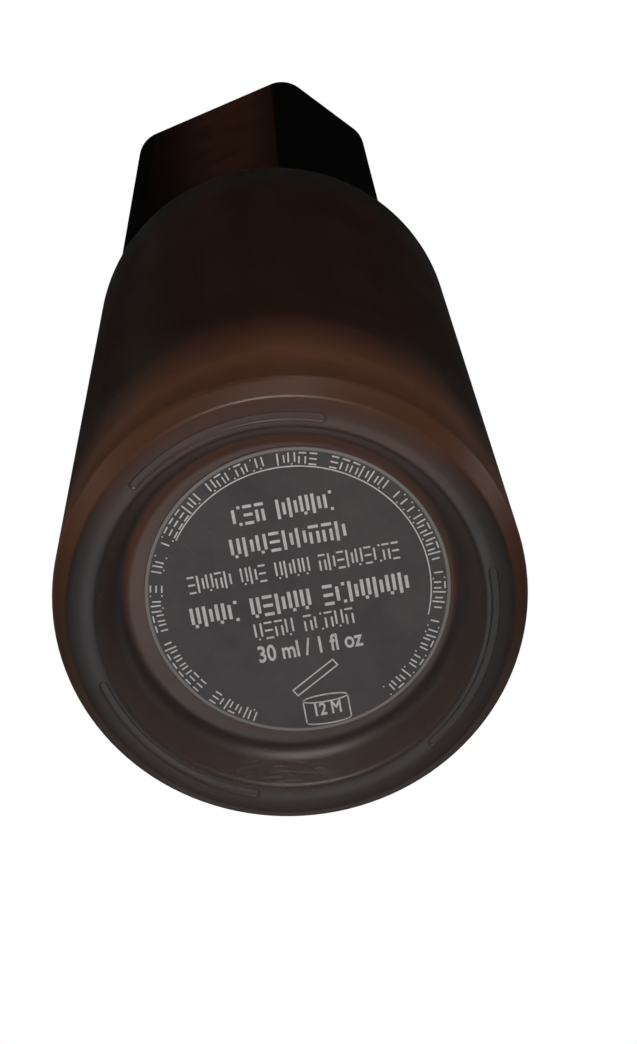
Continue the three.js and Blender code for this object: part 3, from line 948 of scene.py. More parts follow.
@dataclass
class GlassBottle(SubAssembly):
    """The bottle: heavy glass with a recessed base and a threaded neck, and the liquid that lines it."""

    wardrobe: Wardrobe
    radius: float = 16.5
    height: float = 69.0
    wall: float = 3.0
    base: float = 9.5
    shoulder_wall: float = 3.4
    heel: float = 1.5
    shoulder_rounding: float = 1.8
    foot_width: float = 1.7
    foot_lift: float = 0.14
    panel_depth: float = 2.8
    panel_slope: float = 1.3
    neck_radius: float = 7.75
    neck_bore: float = 5.8
    neck_height: float = 11.0
    neck_fillet: float = 1.2
    bore_flare: float = 2.2
    crown: float = 1.6
    floor_rounding: float = 2.0
    ridge_up: float = 3.45
    ridge_height: float = 1.0
    ridge_root: float = 1.5
    ridge_crest: float = 0.8
    pitch: float = 3.0
    turns: float = 1.25
    groove_in: float = 0.9
    groove_width: float = 0.7
    groove_depth: float = 0.3
    groove_sweep: float = 57.0
    groove_middles: tuple[float, ...] = (20.0, 132.0, 253.0)
    groove_steps: int = 40
    groove_end_steps: int = 6
    panel_rounding: float = 1.6
    foot_rounding: float = 3.0
    heel_step: float = 0.45
    heel_rise: float = 0.1
    rim_rounding: float = 0.4
    flare_rounding: float = 1.0
    flare_drop: float = 0.6
    ridge_sink: float = 0.15
    ridge_rounding: float = 0.2
    ridge_steps: int = 80
    liquid_thickness: float = 0.4
    wetting: float = 0.03

    def build(self) -> None:
        """Makes the glass and the liquid."""
        glass = self.glass()
        glass.visible_shadow = False
        self.place(glass, "bottle", BottleGlass(), ["bottle_body"])
        self.place(self.liquid(), "bottle", LiquidFoundation())

    def inner_corners(self, offset: float) -> list[Corner]:
        """The inside of the glass from the middle of the floor up to the neck, moved inwards by an offset.

        Args:
            offset: How far it is moved.

        Returns:
            The profile's corners.
        """
        inside = self.radius - self.wall - offset
        top = self.height - self.shoulder_wall - offset
        floor = self.base + offset
        bore = self.neck_bore - offset
        return [
            Corner(0, floor),
            Corner(inside, floor, self.floor_rounding - offset),
            Corner(inside, top, self.crown - offset),
            Corner(bore + self.bore_flare, top, self.flare_rounding),
            Corner(bore, self.height - self.flare_drop - offset, self.flare_rounding),
        ]

    def glass(self) -> bpy.types.Object:
        """The glass body with its thread and foot grooves.

        Returns:
            The body.
        """
        foot_outer = self.radius - self.heel
        foot_inner = foot_outer - self.foot_width
        rim = self.height + self.neck_height
        profile = [
            Corner(0, self.panel_depth),
            Corner(foot_inner - self.panel_slope, self.panel_depth, self.panel_rounding),
            Corner(foot_inner, self.foot_lift, 0.5),
            Corner((foot_inner + foot_outer) / 2, 0.0, self.foot_rounding),
            Corner(foot_outer, self.foot_lift, 0.4),
            Corner(foot_outer + self.heel_step, self.foot_lift + self.heel_rise, 0.4),
            Corner(self.radius, self.heel, 1.0),
            Corner(self.radius, self.height, self.shoulder_rounding),
            Corner(self.neck_radius, self.height, self.neck_fillet),
            Corner(self.neck_radius, rim, self.rim_rounding),
            Corner(self.neck_bore, rim, self.rim_rounding),
            *reversed(self.inner_corners(0.0)),
        ]
        body = Bench.turned("glass_bottle", profile, closed=False)
        for middle in self.groove_middles:
            Bench.combine(body, self.foot_groove(foot_outer - self.groove_in, middle))
        Bench.combine(body, self.thread(), "UNION")
        return body

    def foot_groove(self, radius: float, middle: float) -> bpy.types.Object:
        """A curved round-ended cutter that lies along part of the foot ring.

        Args:
            radius: Distance of its middle line from the axis.
            middle: Direction of its middle in degrees.

        Returns:
            The cutter.
        """
        half = self.groove_width / 2
        sweep = math.radians(self.groove_sweep)
        ends = [math.radians(middle) + side * sweep / 2 for side in (-1, 1)]

        def spoke(reach: float, angle: float) -> Vector:
            """A point at a distance and an angle from the middle."""
            return Vector((reach * math.cos(angle), reach * math.sin(angle)))

        angles = [ends[0] + sweep * step / self.groove_steps for step in range(self.groove_steps + 1)]
        turns = [math.pi * step / self.groove_end_steps for step in range(1, self.groove_end_steps)]
        outline = [spoke(radius + half, angle) for angle in angles]
        outline += [spoke(radius, ends[1]) + spoke(half, ends[1] + turn) for turn in turns]
        outline += [spoke(radius - half, angle) for angle in reversed(angles)]
        outline += [spoke(radius, ends[0]) + spoke(half, ends[0] + math.pi + turn) for turn in turns]
        cutter = Bench.block("groove", outline, -self.groove_depth, self.groove_depth)
        Bench.soften(cutter, self.groove_depth * 0.6, 3, 60.0)
        return cutter

    def thread(self) -> bpy.types.Object:
        """The neck's screw ridge, which sinks a little into the neck so that the two join.

        Returns:
            The ridge.
        """
        low, high = self.height + self.ridge_up, self.height + self.ridge_up + self.ridge_root
        root, crest = self.neck_radius - self.ridge_sink, self.neck_radius + self.ridge_height
        flank = (self.ridge_root - self.ridge_crest) / 2
        corners = [
            Corner(root, low),
            Corner(self.neck_radius, low),
            Corner(crest, low + flank, self.ridge_rounding),
            Corner(crest, high - flank, self.ridge_rounding),
            Corner(self.neck_radius, high),
            Corner(root, high),
        ]
        outline = [Vector((p.x, 0, p.y)) * MM for p in rounded(corners, True, 30.0)]
        ridge = Bench.wire("thread", outline, True)
        return Bench.screwed(ridge, self.turns, self.pitch, self.ridge_steps)

    def liquid(self) -> bpy.types.Object:
        """The coat of liquid on the inside of the glass, which it wets.

        Returns:
            The coat.
        """
        outer = self.inner_corners(-self.wetting)
        inner = self.inner_corners(self.liquid_thickness)
        return Bench.turned("foundation_liquid", [*outer, *reversed(inner)], closed=False)


class Weight(Enum):
    """How heavy a line of filler print is: stroke width and height in millimetres."""

    BOLD = (0.22, 1.45)
    LARGE = (0.24, 1.55)
    PLAIN = (0.14, 1.3)
    FINE = (0.11, 0.9)


@dataclass(frozen=True)
class PrintRow:
    """A line of filler print.

    Args:
        height: Height of its middle over the label's middle.
        half: Half its length.
        words: Number of marks in each word.
        weight: How heavy it is.
    """

    height: float
    half: float
    words: tuple[int, ...]
    weight: Weight


@dataclass
class BaseLabel(SubAssembly):
    """The round label on the base panel, with filler print in place of wording."""

    wardrobe: Wardrobe
    radius: float = 10.7
    thickness: float = 0.12
    gap: float = 0.01
    panel_depth: float = 2.8
    middle: Vector = field(default_factory=lambda: Vector((0.55, -0.36)))
    tilt: float = 6.8
    ink: float = 0.015
    underline_radius: float = 9.25
    underline_arc: tuple[float, float] = (-21.0, 145.0)
    underline_width: float = 0.09
    ring_gap: float = 0.16
    ring_advance: float = 0.82
    ring_share: float = 0.6
    ring_words: tuple[int, int] = (4, 9)
    word_space: float = 0.8
    sign_share: float = 0.78
    sign_kinds: int = 5
    seed: int = 7
    type_width: float = 0.76
    ring_arcs: tuple[tuple[float, float], ...] = ((-60.0, 147.0), (155.0, 241.0))
    jar: tuple[float, float, float, float] = (-1.1, 2.1, -10.0, -8.3)
    jar_pen: float = 0.1
    jar_rim: float = 0.55
    oval_steps: int = 24
    softness: float = 0.04
    boldness: float = 0.035
    jar_lid: tuple[tuple[float, float], tuple[float, float]] = ((-1.5, -7.55), (1.65, -5.7))
    jar_lid_height: float = 0.55
    quantities: tuple[tuple[str, float, float, float], ...] = (
        ("30 ml / 1 fl oz", 0.1, -4.25, 1.75),
        ("12 M", 0.5, -9.15, 1.35),
    )
    rows: tuple[PrintRow, ...] = (
        PrintRow(6.3, 3.6, (3, 5), Weight.BOLD),
        PrintRow(4.0, 4.15, (9,), Weight.BOLD),
        PrintRow(1.85, 7.5, (5, 3, 4, 9), Weight.PLAIN),
        PrintRow(-0.6, 7.8, (4, 5, 7), Weight.LARGE),
        PrintRow(-2.45, 3.6, (4, 5), Weight.PLAIN),
    )

    def build(self) -> None:
        """Makes the film and its print."""
        self.place(self.film(), "bottle", LabelFilm(), ["base_label"])
        self.place(self.printing(), "bottle", PrintInk())

    @property
    def underside(self) -> float:
        """Height of the label's visible face."""
        return self.panel_depth - self.gap - self.thickness

    def film(self) -> bpy.types.Object:
        """The film disc with a slightly rounded cut edge.

        Returns:
            The disc.
        """
        bpy.ops.object.select_all(action="DESELECT")
        bpy.ops.mesh.primitive_circle_add(
            vertices=160,
            radius=self.radius * MM,
            fill_type="NGON",
            location=(self.middle.x * MM, self.middle.y * MM, self.underside * MM),
        )
        disc = Bench.named("label_disc")
        with Bench.editing(disc, "FACE"):
            bpy.ops.mesh.select_all(action="SELECT")
            bpy.ops.mesh.extrude_region_move(TRANSFORM_OT_translate={"value": (0, 0, self.thickness * MM)})
        Bench.weld(disc)
        Bench.soften(disc, self.thickness * 0.3, 2, 60.0)
        return disc

    @staticmethod
    def stroke(x: float, y: float, width: float, height: float, turn: float = 0.0) -> None:
        """Adds one flat mark of print to the mesh that is being edited.

        Args:
            x: Reading position of its middle, to the right.
            y: Reading position of its middle, upwards.
            width: Its width.
            height: Its height.
            turn: Its turn in degrees, anticlockwise as read.
        """
        bpy.ops.mesh.select_all(action="DESELECT")
        bpy.ops.mesh.primitive_plane_add(size=MM)
        bpy.ops.transform.resize(value=(width, height, 1), center_override=(0, 0, 0))
        if turn:
            bpy.ops.transform.rotate(value=-math.radians(turn), orient_axis="Z", center_override=(0, 0, 0))
        bpy.ops.transform.translate(value=(x * MM, y * MM, 0))

    @staticmethod
    def sign(
        kind: int, x: float, y: float, width: float, height: float, pen: float, turn: float = 0.0
    ) -> None:
        """Adds one filler sign, a small group of bars that stands for no letter.

        Args:
            kind: Which of the signs.
            x: Reading position of its middle, to the right.
            y: Reading position of its middle, upwards.
            width: Its width.
            height: Its height.
            pen: Width of its bars.
            turn: Its turn in degrees, anticlockwise as read.
        """
        side, low = (width - pen) / 2, (height - pen) / 2
        bars = (
            ((-side, 0, pen, height), (side, 0, pen, height * 0.62)),
            ((0, -low, width, pen), (0, 0, width, pen), (0, low, width, pen)),
            ((-side, 0, pen, height * 0.7), (side, low, pen, pen), (side, -low, pen, pen)),
            (
                (0, low, width, pen),
                (-side, -low * 0.3, pen, height * 0.6),
                (side, -low * 0.3, pen, height * 0.6),
            ),
            (
                (-side, low * 0.2, pen, height * 0.8),
                (0, -low, pen, pen),
                (side, low * 0.2, pen, height * 0.8),
            ),
        )[kind]
        lean = math.radians(turn)
        for dx, dy, wide, tall in bars:
            right = dx * math.cos(lean) - dy * math.sin(lean)
            up = dx * math.sin(lean) + dy * math.cos(lean)
            BaseLabel.stroke(x + right, y + up, wide, tall, turn)

    def write_row(self, row: PrintRow, draw: random.Random) -> None:
        """Fills one row with words of filler signs.

        Args:
            row: The row.
            draw: Where its signs are drawn from.
        """
        pen, tall = row.weight.value
        slots = sum(row.words) + self.word_space * (len(row.words) - 1)
        advance = 2 * row.half / slots
        x = -row.half + advance / 2
        for word in row.words:
            for _ in range(word):
                kind = draw.randrange(self.sign_kinds)
                self.sign(kind, x, row.height, advance * self.sign_share, tall, pen)
                x += advance
            x += self.word_space * advance

    def write_ring(self, draw: random.Random) -> None:
        """Fills the label's border with small filler signs that follow its edge.

        Args:
            draw: Where its signs are drawn from.
        """
        pen, tall = Weight.FINE.value
        reach = self.underline_radius + self.ring_gap + tall / 2
        step = math.degrees(tall * self.ring_advance / reach)
        for start, end in self.ring_arcs:
            angle, left = end, draw.randint(*self.ring_words)
            while angle > start:
                if left:
                    at = math.radians(angle)
                    spot = Vector((math.cos(at), math.sin(at))) * reach
                    kind = draw.randrange(self.sign_kinds)
                    self.sign(kind, spot.x, spot.y, tall * self.ring_share, tall, pen, angle - 90)
                left = left - 1 if left else draw.randint(*self.ring_words)
                angle -= step

    def oval(self, x: float, y: float, width: float, height: float, arc: tuple[float, float]) -> None:
        """Draws part of an oval outline with short marks.

        Args:
            x: Reading position of its middle, to the right.
            y: Reading position of its middle, upwards.
            width: Its whole width.
            height: Its whole height.
            arc: First and last angle in degrees.
        """
        start, end = (math.radians(angle) for angle in arc)
        turns = [start + (end - start) * step / self.oval_steps for step in range(self.oval_steps + 1)]
        tips = [Vector((x + math.cos(turn) * width / 2, y + math.sin(turn) * height / 2)) for turn in turns]
        for tip, after in zip(tips, tips[1:]):
            run, centre = after - tip, (tip + after) / 2
            lean = math.degrees(math.atan2(run.y, run.x))
            self.stroke(centre.x, centre.y, run.length + self.jar_pen / 2, self.jar_pen, lean)

    def write_jar(self) -> None:
        """Draws the sign of an open jar: a drum with an oval mouth, and its lid tilted over it."""
        left, right, low, high = self.jar
        middle, pen = (left + right) / 2, self.jar_pen
        self.oval(middle, high, right - left, self.jar_rim, (0.0, 360.0))
        self.oval(middle, low, right - left, self.jar_rim, (180.0, 360.0))
        self.stroke(left, (low + high) / 2, pen, high - low)
        self.stroke(right, (low + high) / 2, pen, high - low)
        start, end = (Vector(tip) for tip in self.jar_lid)
        run = end - start
        lean = math.degrees(math.atan2(run.y, run.x))
        aside = Vector((-run.y, run.x)).normalized() * self.jar_lid_height / 2
        centre = (start + end) / 2
        for shift in (-aside, aside):
            self.stroke(centre.x + shift.x, centre.y + shift.y, run.length, pen, lean)
        for tip in (start, end):
            self.stroke(tip.x, tip.y, pen, self.jar_lid_height + pen, lean)

    def words(self, text: str, x: float, y: float, size: float) -> bpy.types.Object:
        """Writes a generic quantity as a flat mesh, centred on a reading position.

        Args:
            text: A number and its unit.
            x: Reading position, to the right.
            y: Reading position, upwards.
            size: Height of the type.

        Returns:
            The mesh, facing up.
        """
        bpy.ops.object.select_all(action="DESELECT")
        bpy.ops.object.text_add()
        line = bpy.context.active_object
        line.data.body = text
        line.data.align_x, line.data.align_y = "CENTER", "CENTER"
        line.data.size = size * MM
        line.data.resolution_u = 3
        line.data.offset = self.boldness * MM
        bpy.ops.object.convert(target="MESH")
        line.location = Vector((x, y, 0)) * MM
        line.scale.x = self.type_width
        return Bench.named("words")

    def underline(self) -> bpy.types.Object:
        """The thin line that runs inside the border's signs.

        Returns:
            The line, flat.
        """
        start, end = (math.radians(angle) for angle in self.underline_arc)
        ray = Vector((math.cos(start), math.sin(start), 0)) * MM
        radius = self.underline_radius
        line = Bench.wire("underline", [ray * radius, ray * (radius + self.underline_width)], False)
        with Bench.editing(line):
            bpy.ops.mesh.select_all(action="SELECT")
            bpy.ops.mesh.spin(steps=96, angle=start - end, center=(0, 0, 0), axis=(0, 0, 1))
        return line

    def printing(self) -> bpy.types.Object:
        """All of the print: filler rows, the fill size, the border's signs and the open jar.

        Returns:
            The print as one mesh, facing down.
        """
        draw = random.Random(self.seed)
        bpy.ops.object.select_all(action="DESELECT")
        bpy.ops.mesh.primitive_plane_add(size=MM)
        marks = Bench.named("marks")
        with Bench.editing(marks):
            bpy.ops.mesh.select_all(action="SELECT")
            bpy.ops.mesh.delete(type="VERT")
            for row in self.rows:
                self.write_row(row, draw)
            self.write_ring(draw)
            self.write_jar()
            bpy.ops.mesh.select_all(action="SELECT")
            bpy.ops.mesh.bevel(
                offset_type="OFFSET",
                offset=self.softness * MM,
                segments=2,
                affect="VERTICES",
                clamp_overlap=True,
            )
        sheet = Bench.joined(
            "label_print",
            [marks, self.underline(), *(self.words(*line) for line in self.quantities)],
        )
        with Bench.editing(sheet, "FACE"):
            bpy.ops.mesh.select_all(action="SELECT")
            bpy.ops.mesh.extrude_region_move(TRANSFORM_OT_translate={"value": (0, 0, self.ink * MM)})
            bpy.ops.mesh.select_all(action="SELECT")
            bpy.ops.mesh.normals_make_consistent(inside=False)
        sheet.rotation_euler = (math.pi, 0, -math.radians(self.tilt))
        sheet.location = Vector((self.middle.x, self.middle.y, self.underside)) * MM
        return Bench.named("label_print")


@dataclass
class Closure(SubAssembly):
    """What closes the neck: the screw collar in its thin sleeve, and the gasket."""

    wardrobe: Wardrobe
    sleeve_inner: float = 9.55
    sleeve_outer: float = 9.95
    sleeve_bottom: float = 70.1
    lip_bottom: float = 83.3
    sleeve_top: float = 83.7
    lip_radius: float = 8.6

    def build(self) -> None:
        """Makes the sleeve and dresses the collar and gasket."""
        profile = [
            Corner(self.sleeve_inner, self.sleeve_bottom),
            Corner(self.sleeve_outer, self.sleeve_bottom, 0.12),
            Corner(self.sleeve_outer, self.sleeve_top, 0.3),
            Corner(self.lip_radius, self.sleeve_top, 0.1),
            Corner(self.lip_radius, self.lip_bottom),
            Corner(self.sleeve_inner, self.lip_bottom),
        ]
        self.place(Bench.turned("sleeve", profile, True), "collar", PIANO_BLACK, ["collar_sleeve"])
        self.keep("screw_collar", SATIN_BLACK)
        self.keep("neck_gasket", FOAM)


@dataclass
class LotionPump(SubAssembly):
    """The pump: retainer, stem, push button with its spout and nozzle, and the engine in the neck."""

    wardrobe: Wardrobe
    stem_bore: float = 1.1
    stem_radius: float = 2.0
    stem_bottom: float = 80.15
    stem_top: float = 99.45
    retainer_radius: float = 6.56
    retainer_bottom: float = 83.35
    retainer_top: float = 84.35
    retainer_bore: float = 2.08
    skirt_radius: float = 4.05
    skirt_bottom: float = 80.75
    skirt_wall: float = 0.7
    skirt_depth: float = 1.2
    button_radius: float = 8.2
    button_wall: float = 1.1
    button_bottom: float = 88.5
    button_top: float = 109.5
    pad_depth: float = 0.9
    pad_radius: float = 3.0
    pad_edge: float = 6.4
    roof: float = 1.3
    socket_up: float = 1.5
    socket_radius: float = 3.4
    socket_bore: float = 2.05
    socket_top: float = 99.5
    spout_height: float = 105.3
    spout_radius: float = 2.4
    spout_reach: float = 9.3
    outlet_radius: float = 0.8
    nozzle_radius: float = 1.6
    nozzle_length: float = 2.2
    orifice_radius: float = 0.5
    press_gap: float = 0.05
    spring_radius: float = 2.6
    spring_wire: float = 0.25
    spring_turns: int = 7
    spring_bottom: float = 63.35
    spring_top: float = 73.7
    stroke: float = 4.5

    def build(self) -> None:
        """Makes the pieces above the neck and dresses the ones inside it."""
        self.place(self.retainer(), "pump_engine", WHITE, ["stem_retainer"])
        self.place(self.stem(), "plunger", WHITE, ["pump_stem"])
        self.place(self.button(), "plunger", SATIN_BLACK, ["actuator"])
        self.place(self.nozzle(), "plunger", PIANO_BLACK, ["nozzle_insert"])
        for node in ("pump_housing", "dip_tube"):
            self.keep(node, MILKY)
        for node in ("piston", "piston_rod"):
            self.keep(node, WHITE)
        self.keep("check_ball", DrawnSteel())
        spring = self.place(self.spring(), "pump_engine", DrawnSteel(), ["return_spring"])
        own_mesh(spring)

    def retainer(self) -> bpy.types.Object:
        """The disc that holds the stem in the housing.

        Returns:
            The retainer.
        """
        profile = [
            Corner(self.retainer_bore + self.skirt_wall, self.skirt_bottom),
            Corner(self.skirt_radius, self.skirt_bottom, 0.2),
            Corner(self.skirt_radius, self.retainer_bottom),
            Corner(self.retainer_radius, self.retainer_bottom, 0.1),
            Corner(self.retainer_radius, self.retainer_top, 0.35),
            Corner(self.retainer_bore, self.retainer_top, 0.15),
            Corner(self.retainer_bore, self.skirt_bottom + self.skirt_depth),
        ]
        return Bench.turned("retainer", profile, True, 96)

    def stem(self) -> bpy.types.Object:
        """The hollow stem that carries the button.

        Returns:
            The stem.
        """
        profile = [
            Corner(self.stem_bore, self.stem_bottom, 0.1),
            Corner(self.stem_radius, self.stem_bottom, 0.15),
            Corner(self.stem_radius, self.stem_top, 0.25),
            Corner(self.stem_bore, self.stem_top, 0.1),
        ]
        return Bench.turned("stem", profile, True, 64)

    def spring(self) -> bpy.types.Object:
        """The coil spring that lifts the piston, a round wire on a screw.

        Returns:
            The spring.
        """
        bpy.ops.object.select_all(action="DESELECT")
        bpy.ops.mesh.primitive_circle_add(
            vertices=14,
            radius=self.spring_wire * MM,
            location=Vector((self.spring_radius, 0, self.spring_bottom + self.spring_wire)) * MM,
            rotation=(math.pi / 2, 0, 0),
        )
        wire = Bench.named("spring")
        rise = self.spring_top - self.spring_bottom - 2 * self.spring_wire
        return Bench.screwed(wire, self.spring_turns, rise / self.spring_turns, 32)

    def button(self) -> bpy.types.Object:
        """The push button, hollow below, with its spout.

        Returns:
            The button.
        """
        inner = self.button_radius - self.button_wall
        roof = self.button_top - self.pad_depth - self.roof
        socket_bottom = self.button_bottom + self.socket_up
        profile = [
            Corner(0, self.button_top - self.pad_depth),
            Corner(self.pad_radius, self.button_top - self.pad_depth, 5.0),
            Corner(self.pad_edge, self.button_top, 1.5),
            Corner(self.button_radius, self.button_top, 0.9),
            Corner(self.button_radius, self.button_bottom, 0.2),
            Corner(inner, self.button_bottom, 0.2),
            Corner(inner, roof, 0.4),
            Corner(self.socket_radius, roof, 0.4),
            Corner(self.socket_radius, socket_bottom, 0.2),
            Corner(self.socket_bore, socket_bottom, 0.2),
            Corner(self.socket_bore, self.socket_top),
            Corner(self.stem_bore, self.socket_top),
            Corner(self.stem_bore, self.spout_height),
            Corner(0, self.spout_height),
        ]
        button = Bench.turned("push_button", profile, False)

        def outlet(radius: float, start: float, end: float) -> bpy.types.Object:
            """A bar along the spout, from one distance to another."""
            ends = [Vector((0, -reach, self.spout_height)) for reach in (start, end)]
            return Bench.bar("outlet", radius, *ends)

        spout = outlet(self.spout_radius, self.stem_bore + 0.9, self.spout_reach)
        Bench.soften(spout, 0.25, 3, 60.0)
        Bench.combine(button, spout, "UNION")
        Bench.combine(button, outlet(self.outlet_radius, -0.2, self.spout_reach - 1))
        pocket = self.nozzle_radius + self.press_gap
        Bench.combine(button, outlet(pocket, self.spout_reach - self.nozzle_length, self.spout_reach + 1))
        return button

    def nozzle(self) -> bpy.types.Object:
        """The insert that shapes the dose at the end of the spout.

        Returns:
            The insert.
        """
        inner = self.spout_reach - self.nozzle_length + self.press_gap
        outer = self.spout_reach + 0.15
        profile = [
            Corner(self.orifice_radius, inner),
            Corner(self.nozzle_radius, inner, 0.1),
            Corner(self.nozzle_radius, outer, 0.15),
            Corner(self.orifice_radius + 0.3, outer, 0.1),
            Corner(self.orifice_radius, outer - 0.3, 0.1),
        ]
        insert = Bench.turned("nozzle", profile, True, 64)
        insert.rotation_euler = (math.pi / 2, 0, 0)
        insert.location = (0, 0, self.spout_height * MM)
        return Bench.named("nozzle")


@dataclass(frozen=True)
class Facet:
    """A flat side of the cap and the one opposite.

    Args:
        direction: Where it faces, in degrees.
        distance: Its distance from the axis.
    """

    direction: float
    distance: float


@dataclass
class FacetedCap(SubAssembly):
    """The tall six-sided overcap with its round liner."""

    wardrobe: Wardrobe
    facets: tuple[Facet, ...] = (Facet(250.0, 13.9), Facet(310.0, 14.1), Facet(350.0, 12.6))
    bottom: float = 69.6
    top: float = 118.0
    wall: float = 1.5
    corner_rounding: float = 3.2
    edge_rounding: float = 0.5
    liner_inner: float = 10.1
    liner_outer: float = 10.8
    liner_gap: float = 0.1
    liner_ceiling: float = 115.7
    flange: float = 1.2
    rib: float = 0.1
    rib_up: float = 3.5
    rib_half: float = 0.4
    mouth_lift: float = 0.3
    mouth_depth: float = 0.25
    mouth_flare: float = 0.22

    def build(self) -> None:
        """Makes the shell and its liner."""
        self.place(self.shell(), "overcap", PIANO_BLACK, ["overcap_shell"])
        self.place(self.liner(), "overcap", SATIN_BLACK, ["overcap_liner"])

    def plan(self, inset: float) -> list[Vector]:
        """The cap's outline with every side moved inwards.

        Args:
            inset: How far.

        Returns:
            The outline's points, anticlockwise.
        """
        turns = [(math.radians(facet.direction + half), facet) for half in (0, 180) for facet in self.facets]
        sides = [(Vector((math.cos(turn), math.sin(turn))), facet) for turn, facet in turns]
        corners = []
        for (normal, facet), (following, after) in zip(sides, sides[1:] + sides[:1]):
            cross = normal.x * following.y - normal.y * following.x
            near, far = facet.distance - inset, after.distance - inset
            corners.append(
                Corner(
                    (near * following.y - far * normal.y) / cross,
                    (far * normal.x - near * following.x) / cross,
                    max(self.corner_rounding - inset, 0.5),
                )
            )
        return rounded(corners, True, 5.0)

    def shell(self) -> bpy.types.Object:
        """The outer shell, a block with softened ends and a cavity from below.

        Returns:
            The shell.
        """
        shell = Bench.block("cap_shell", self.plan(0.0), self.bottom, self.top)
        Bench.soften(shell, self.edge_rounding, 5, 60.0)
        cavity = Bench.block("cavity", self.plan(self.wall), self.bottom - 1, self.top - self.wall)
        Bench.soften(cavity, 0.4, 2, 60.0)
        Bench.combine(shell, cavity)
        return shell

    def liner(self) -> bpy.types.Object:
        """The liner cup with its clip rib and the plate that closes the shell's foot.

        Returns:
            The liner.
        """
        clip = self.bottom + self.rib_up
        low = self.bottom + self.mouth_lift
        inner, outer = self.liner_inner, self.liner_outer
        ceiling = self.liner_ceiling
        profile = [
            Corner(0, ceiling),
            Corner(inner, ceiling, 0.8),
            Corner(inner, clip + self.rib_half),
            Corner(inner - self.rib, clip, 0.2),
            Corner(inner, clip - self.rib_half),
            Corner(inner, low + self.mouth_depth),
            Corner(inner + self.mouth_flare, low),
            Corner(outer, low),
            Corner(outer, ceiling + outer - inner, 0.9),
            Corner(0, ceiling + outer - inner),
        ]
        cup = Bench.turned("cap_liner", profile, False)
        plate = Bench.block("plate", self.plan(self.wall + self.liner_gap), low, low + self.flange)
        middle = (inner + outer) / 2
        hole = Bench.bar("hole", middle, Vector((0, 0, low - 1)), Vector((0, 0, low + self.flange + 1)), 128)
        Bench.combine(plate, hole)
        Bench.combine(cup, plate, "UNION")
        return cup


# ---------------------------------------------------------------- studio


@dataclass(frozen=True)
class SoftBox:
    """A soft area light that faces the bottle.

    Args:
        name: Its name.
        azimuth: Its direction round the bottle in degrees, 0 at +X.
        elevation: Its height above the horizon in degrees.
        distance: Its distance in metres.
        width: Its width in metres.
        height: Its height in metres.
        power: Its power in watts.
        colour: Its colour.
        mirrored: Whether glossy surfaces reflect it.
    """

    name: str
    azimuth: float
    elevation: float
    distance: float
    width: float
    height: float
    power: float
    colour: tuple[float, float, float] = (1.0, 1.0, 1.0)
    mirrored: bool = True

    def hang(self, target: Vector) -> None:
        """Adds the light, facing a target.

        Args:
            target: The point it faces, in metres.
        """
        around, up = math.radians(self.azimuth), math.radians(self.elevation)
        direction = Vector((math.cos(up) * math.cos(around), math.cos(up) * math.sin(around), math.sin(up)))
        data = bpy.data.lights.new(self.name, "AREA")
        data.shape = "RECTANGLE"
        data.size, data.size_y = self.width, self.height
        data.energy = self.power
        data.color = self.colour
        lamp = bpy.data.objects.new(self.name, data)
        bpy.context.scene.collection.objects.link(lamp)
        lamp.location = target + direction * self.distance
        lamp.rotation_euler = (-direction).to_track_quat("-Z", "Y").to_euler()
        lamp.visible_camera = False
        lamp.visible_glossy = self.mirrored
        lamp.visible_transmission = False


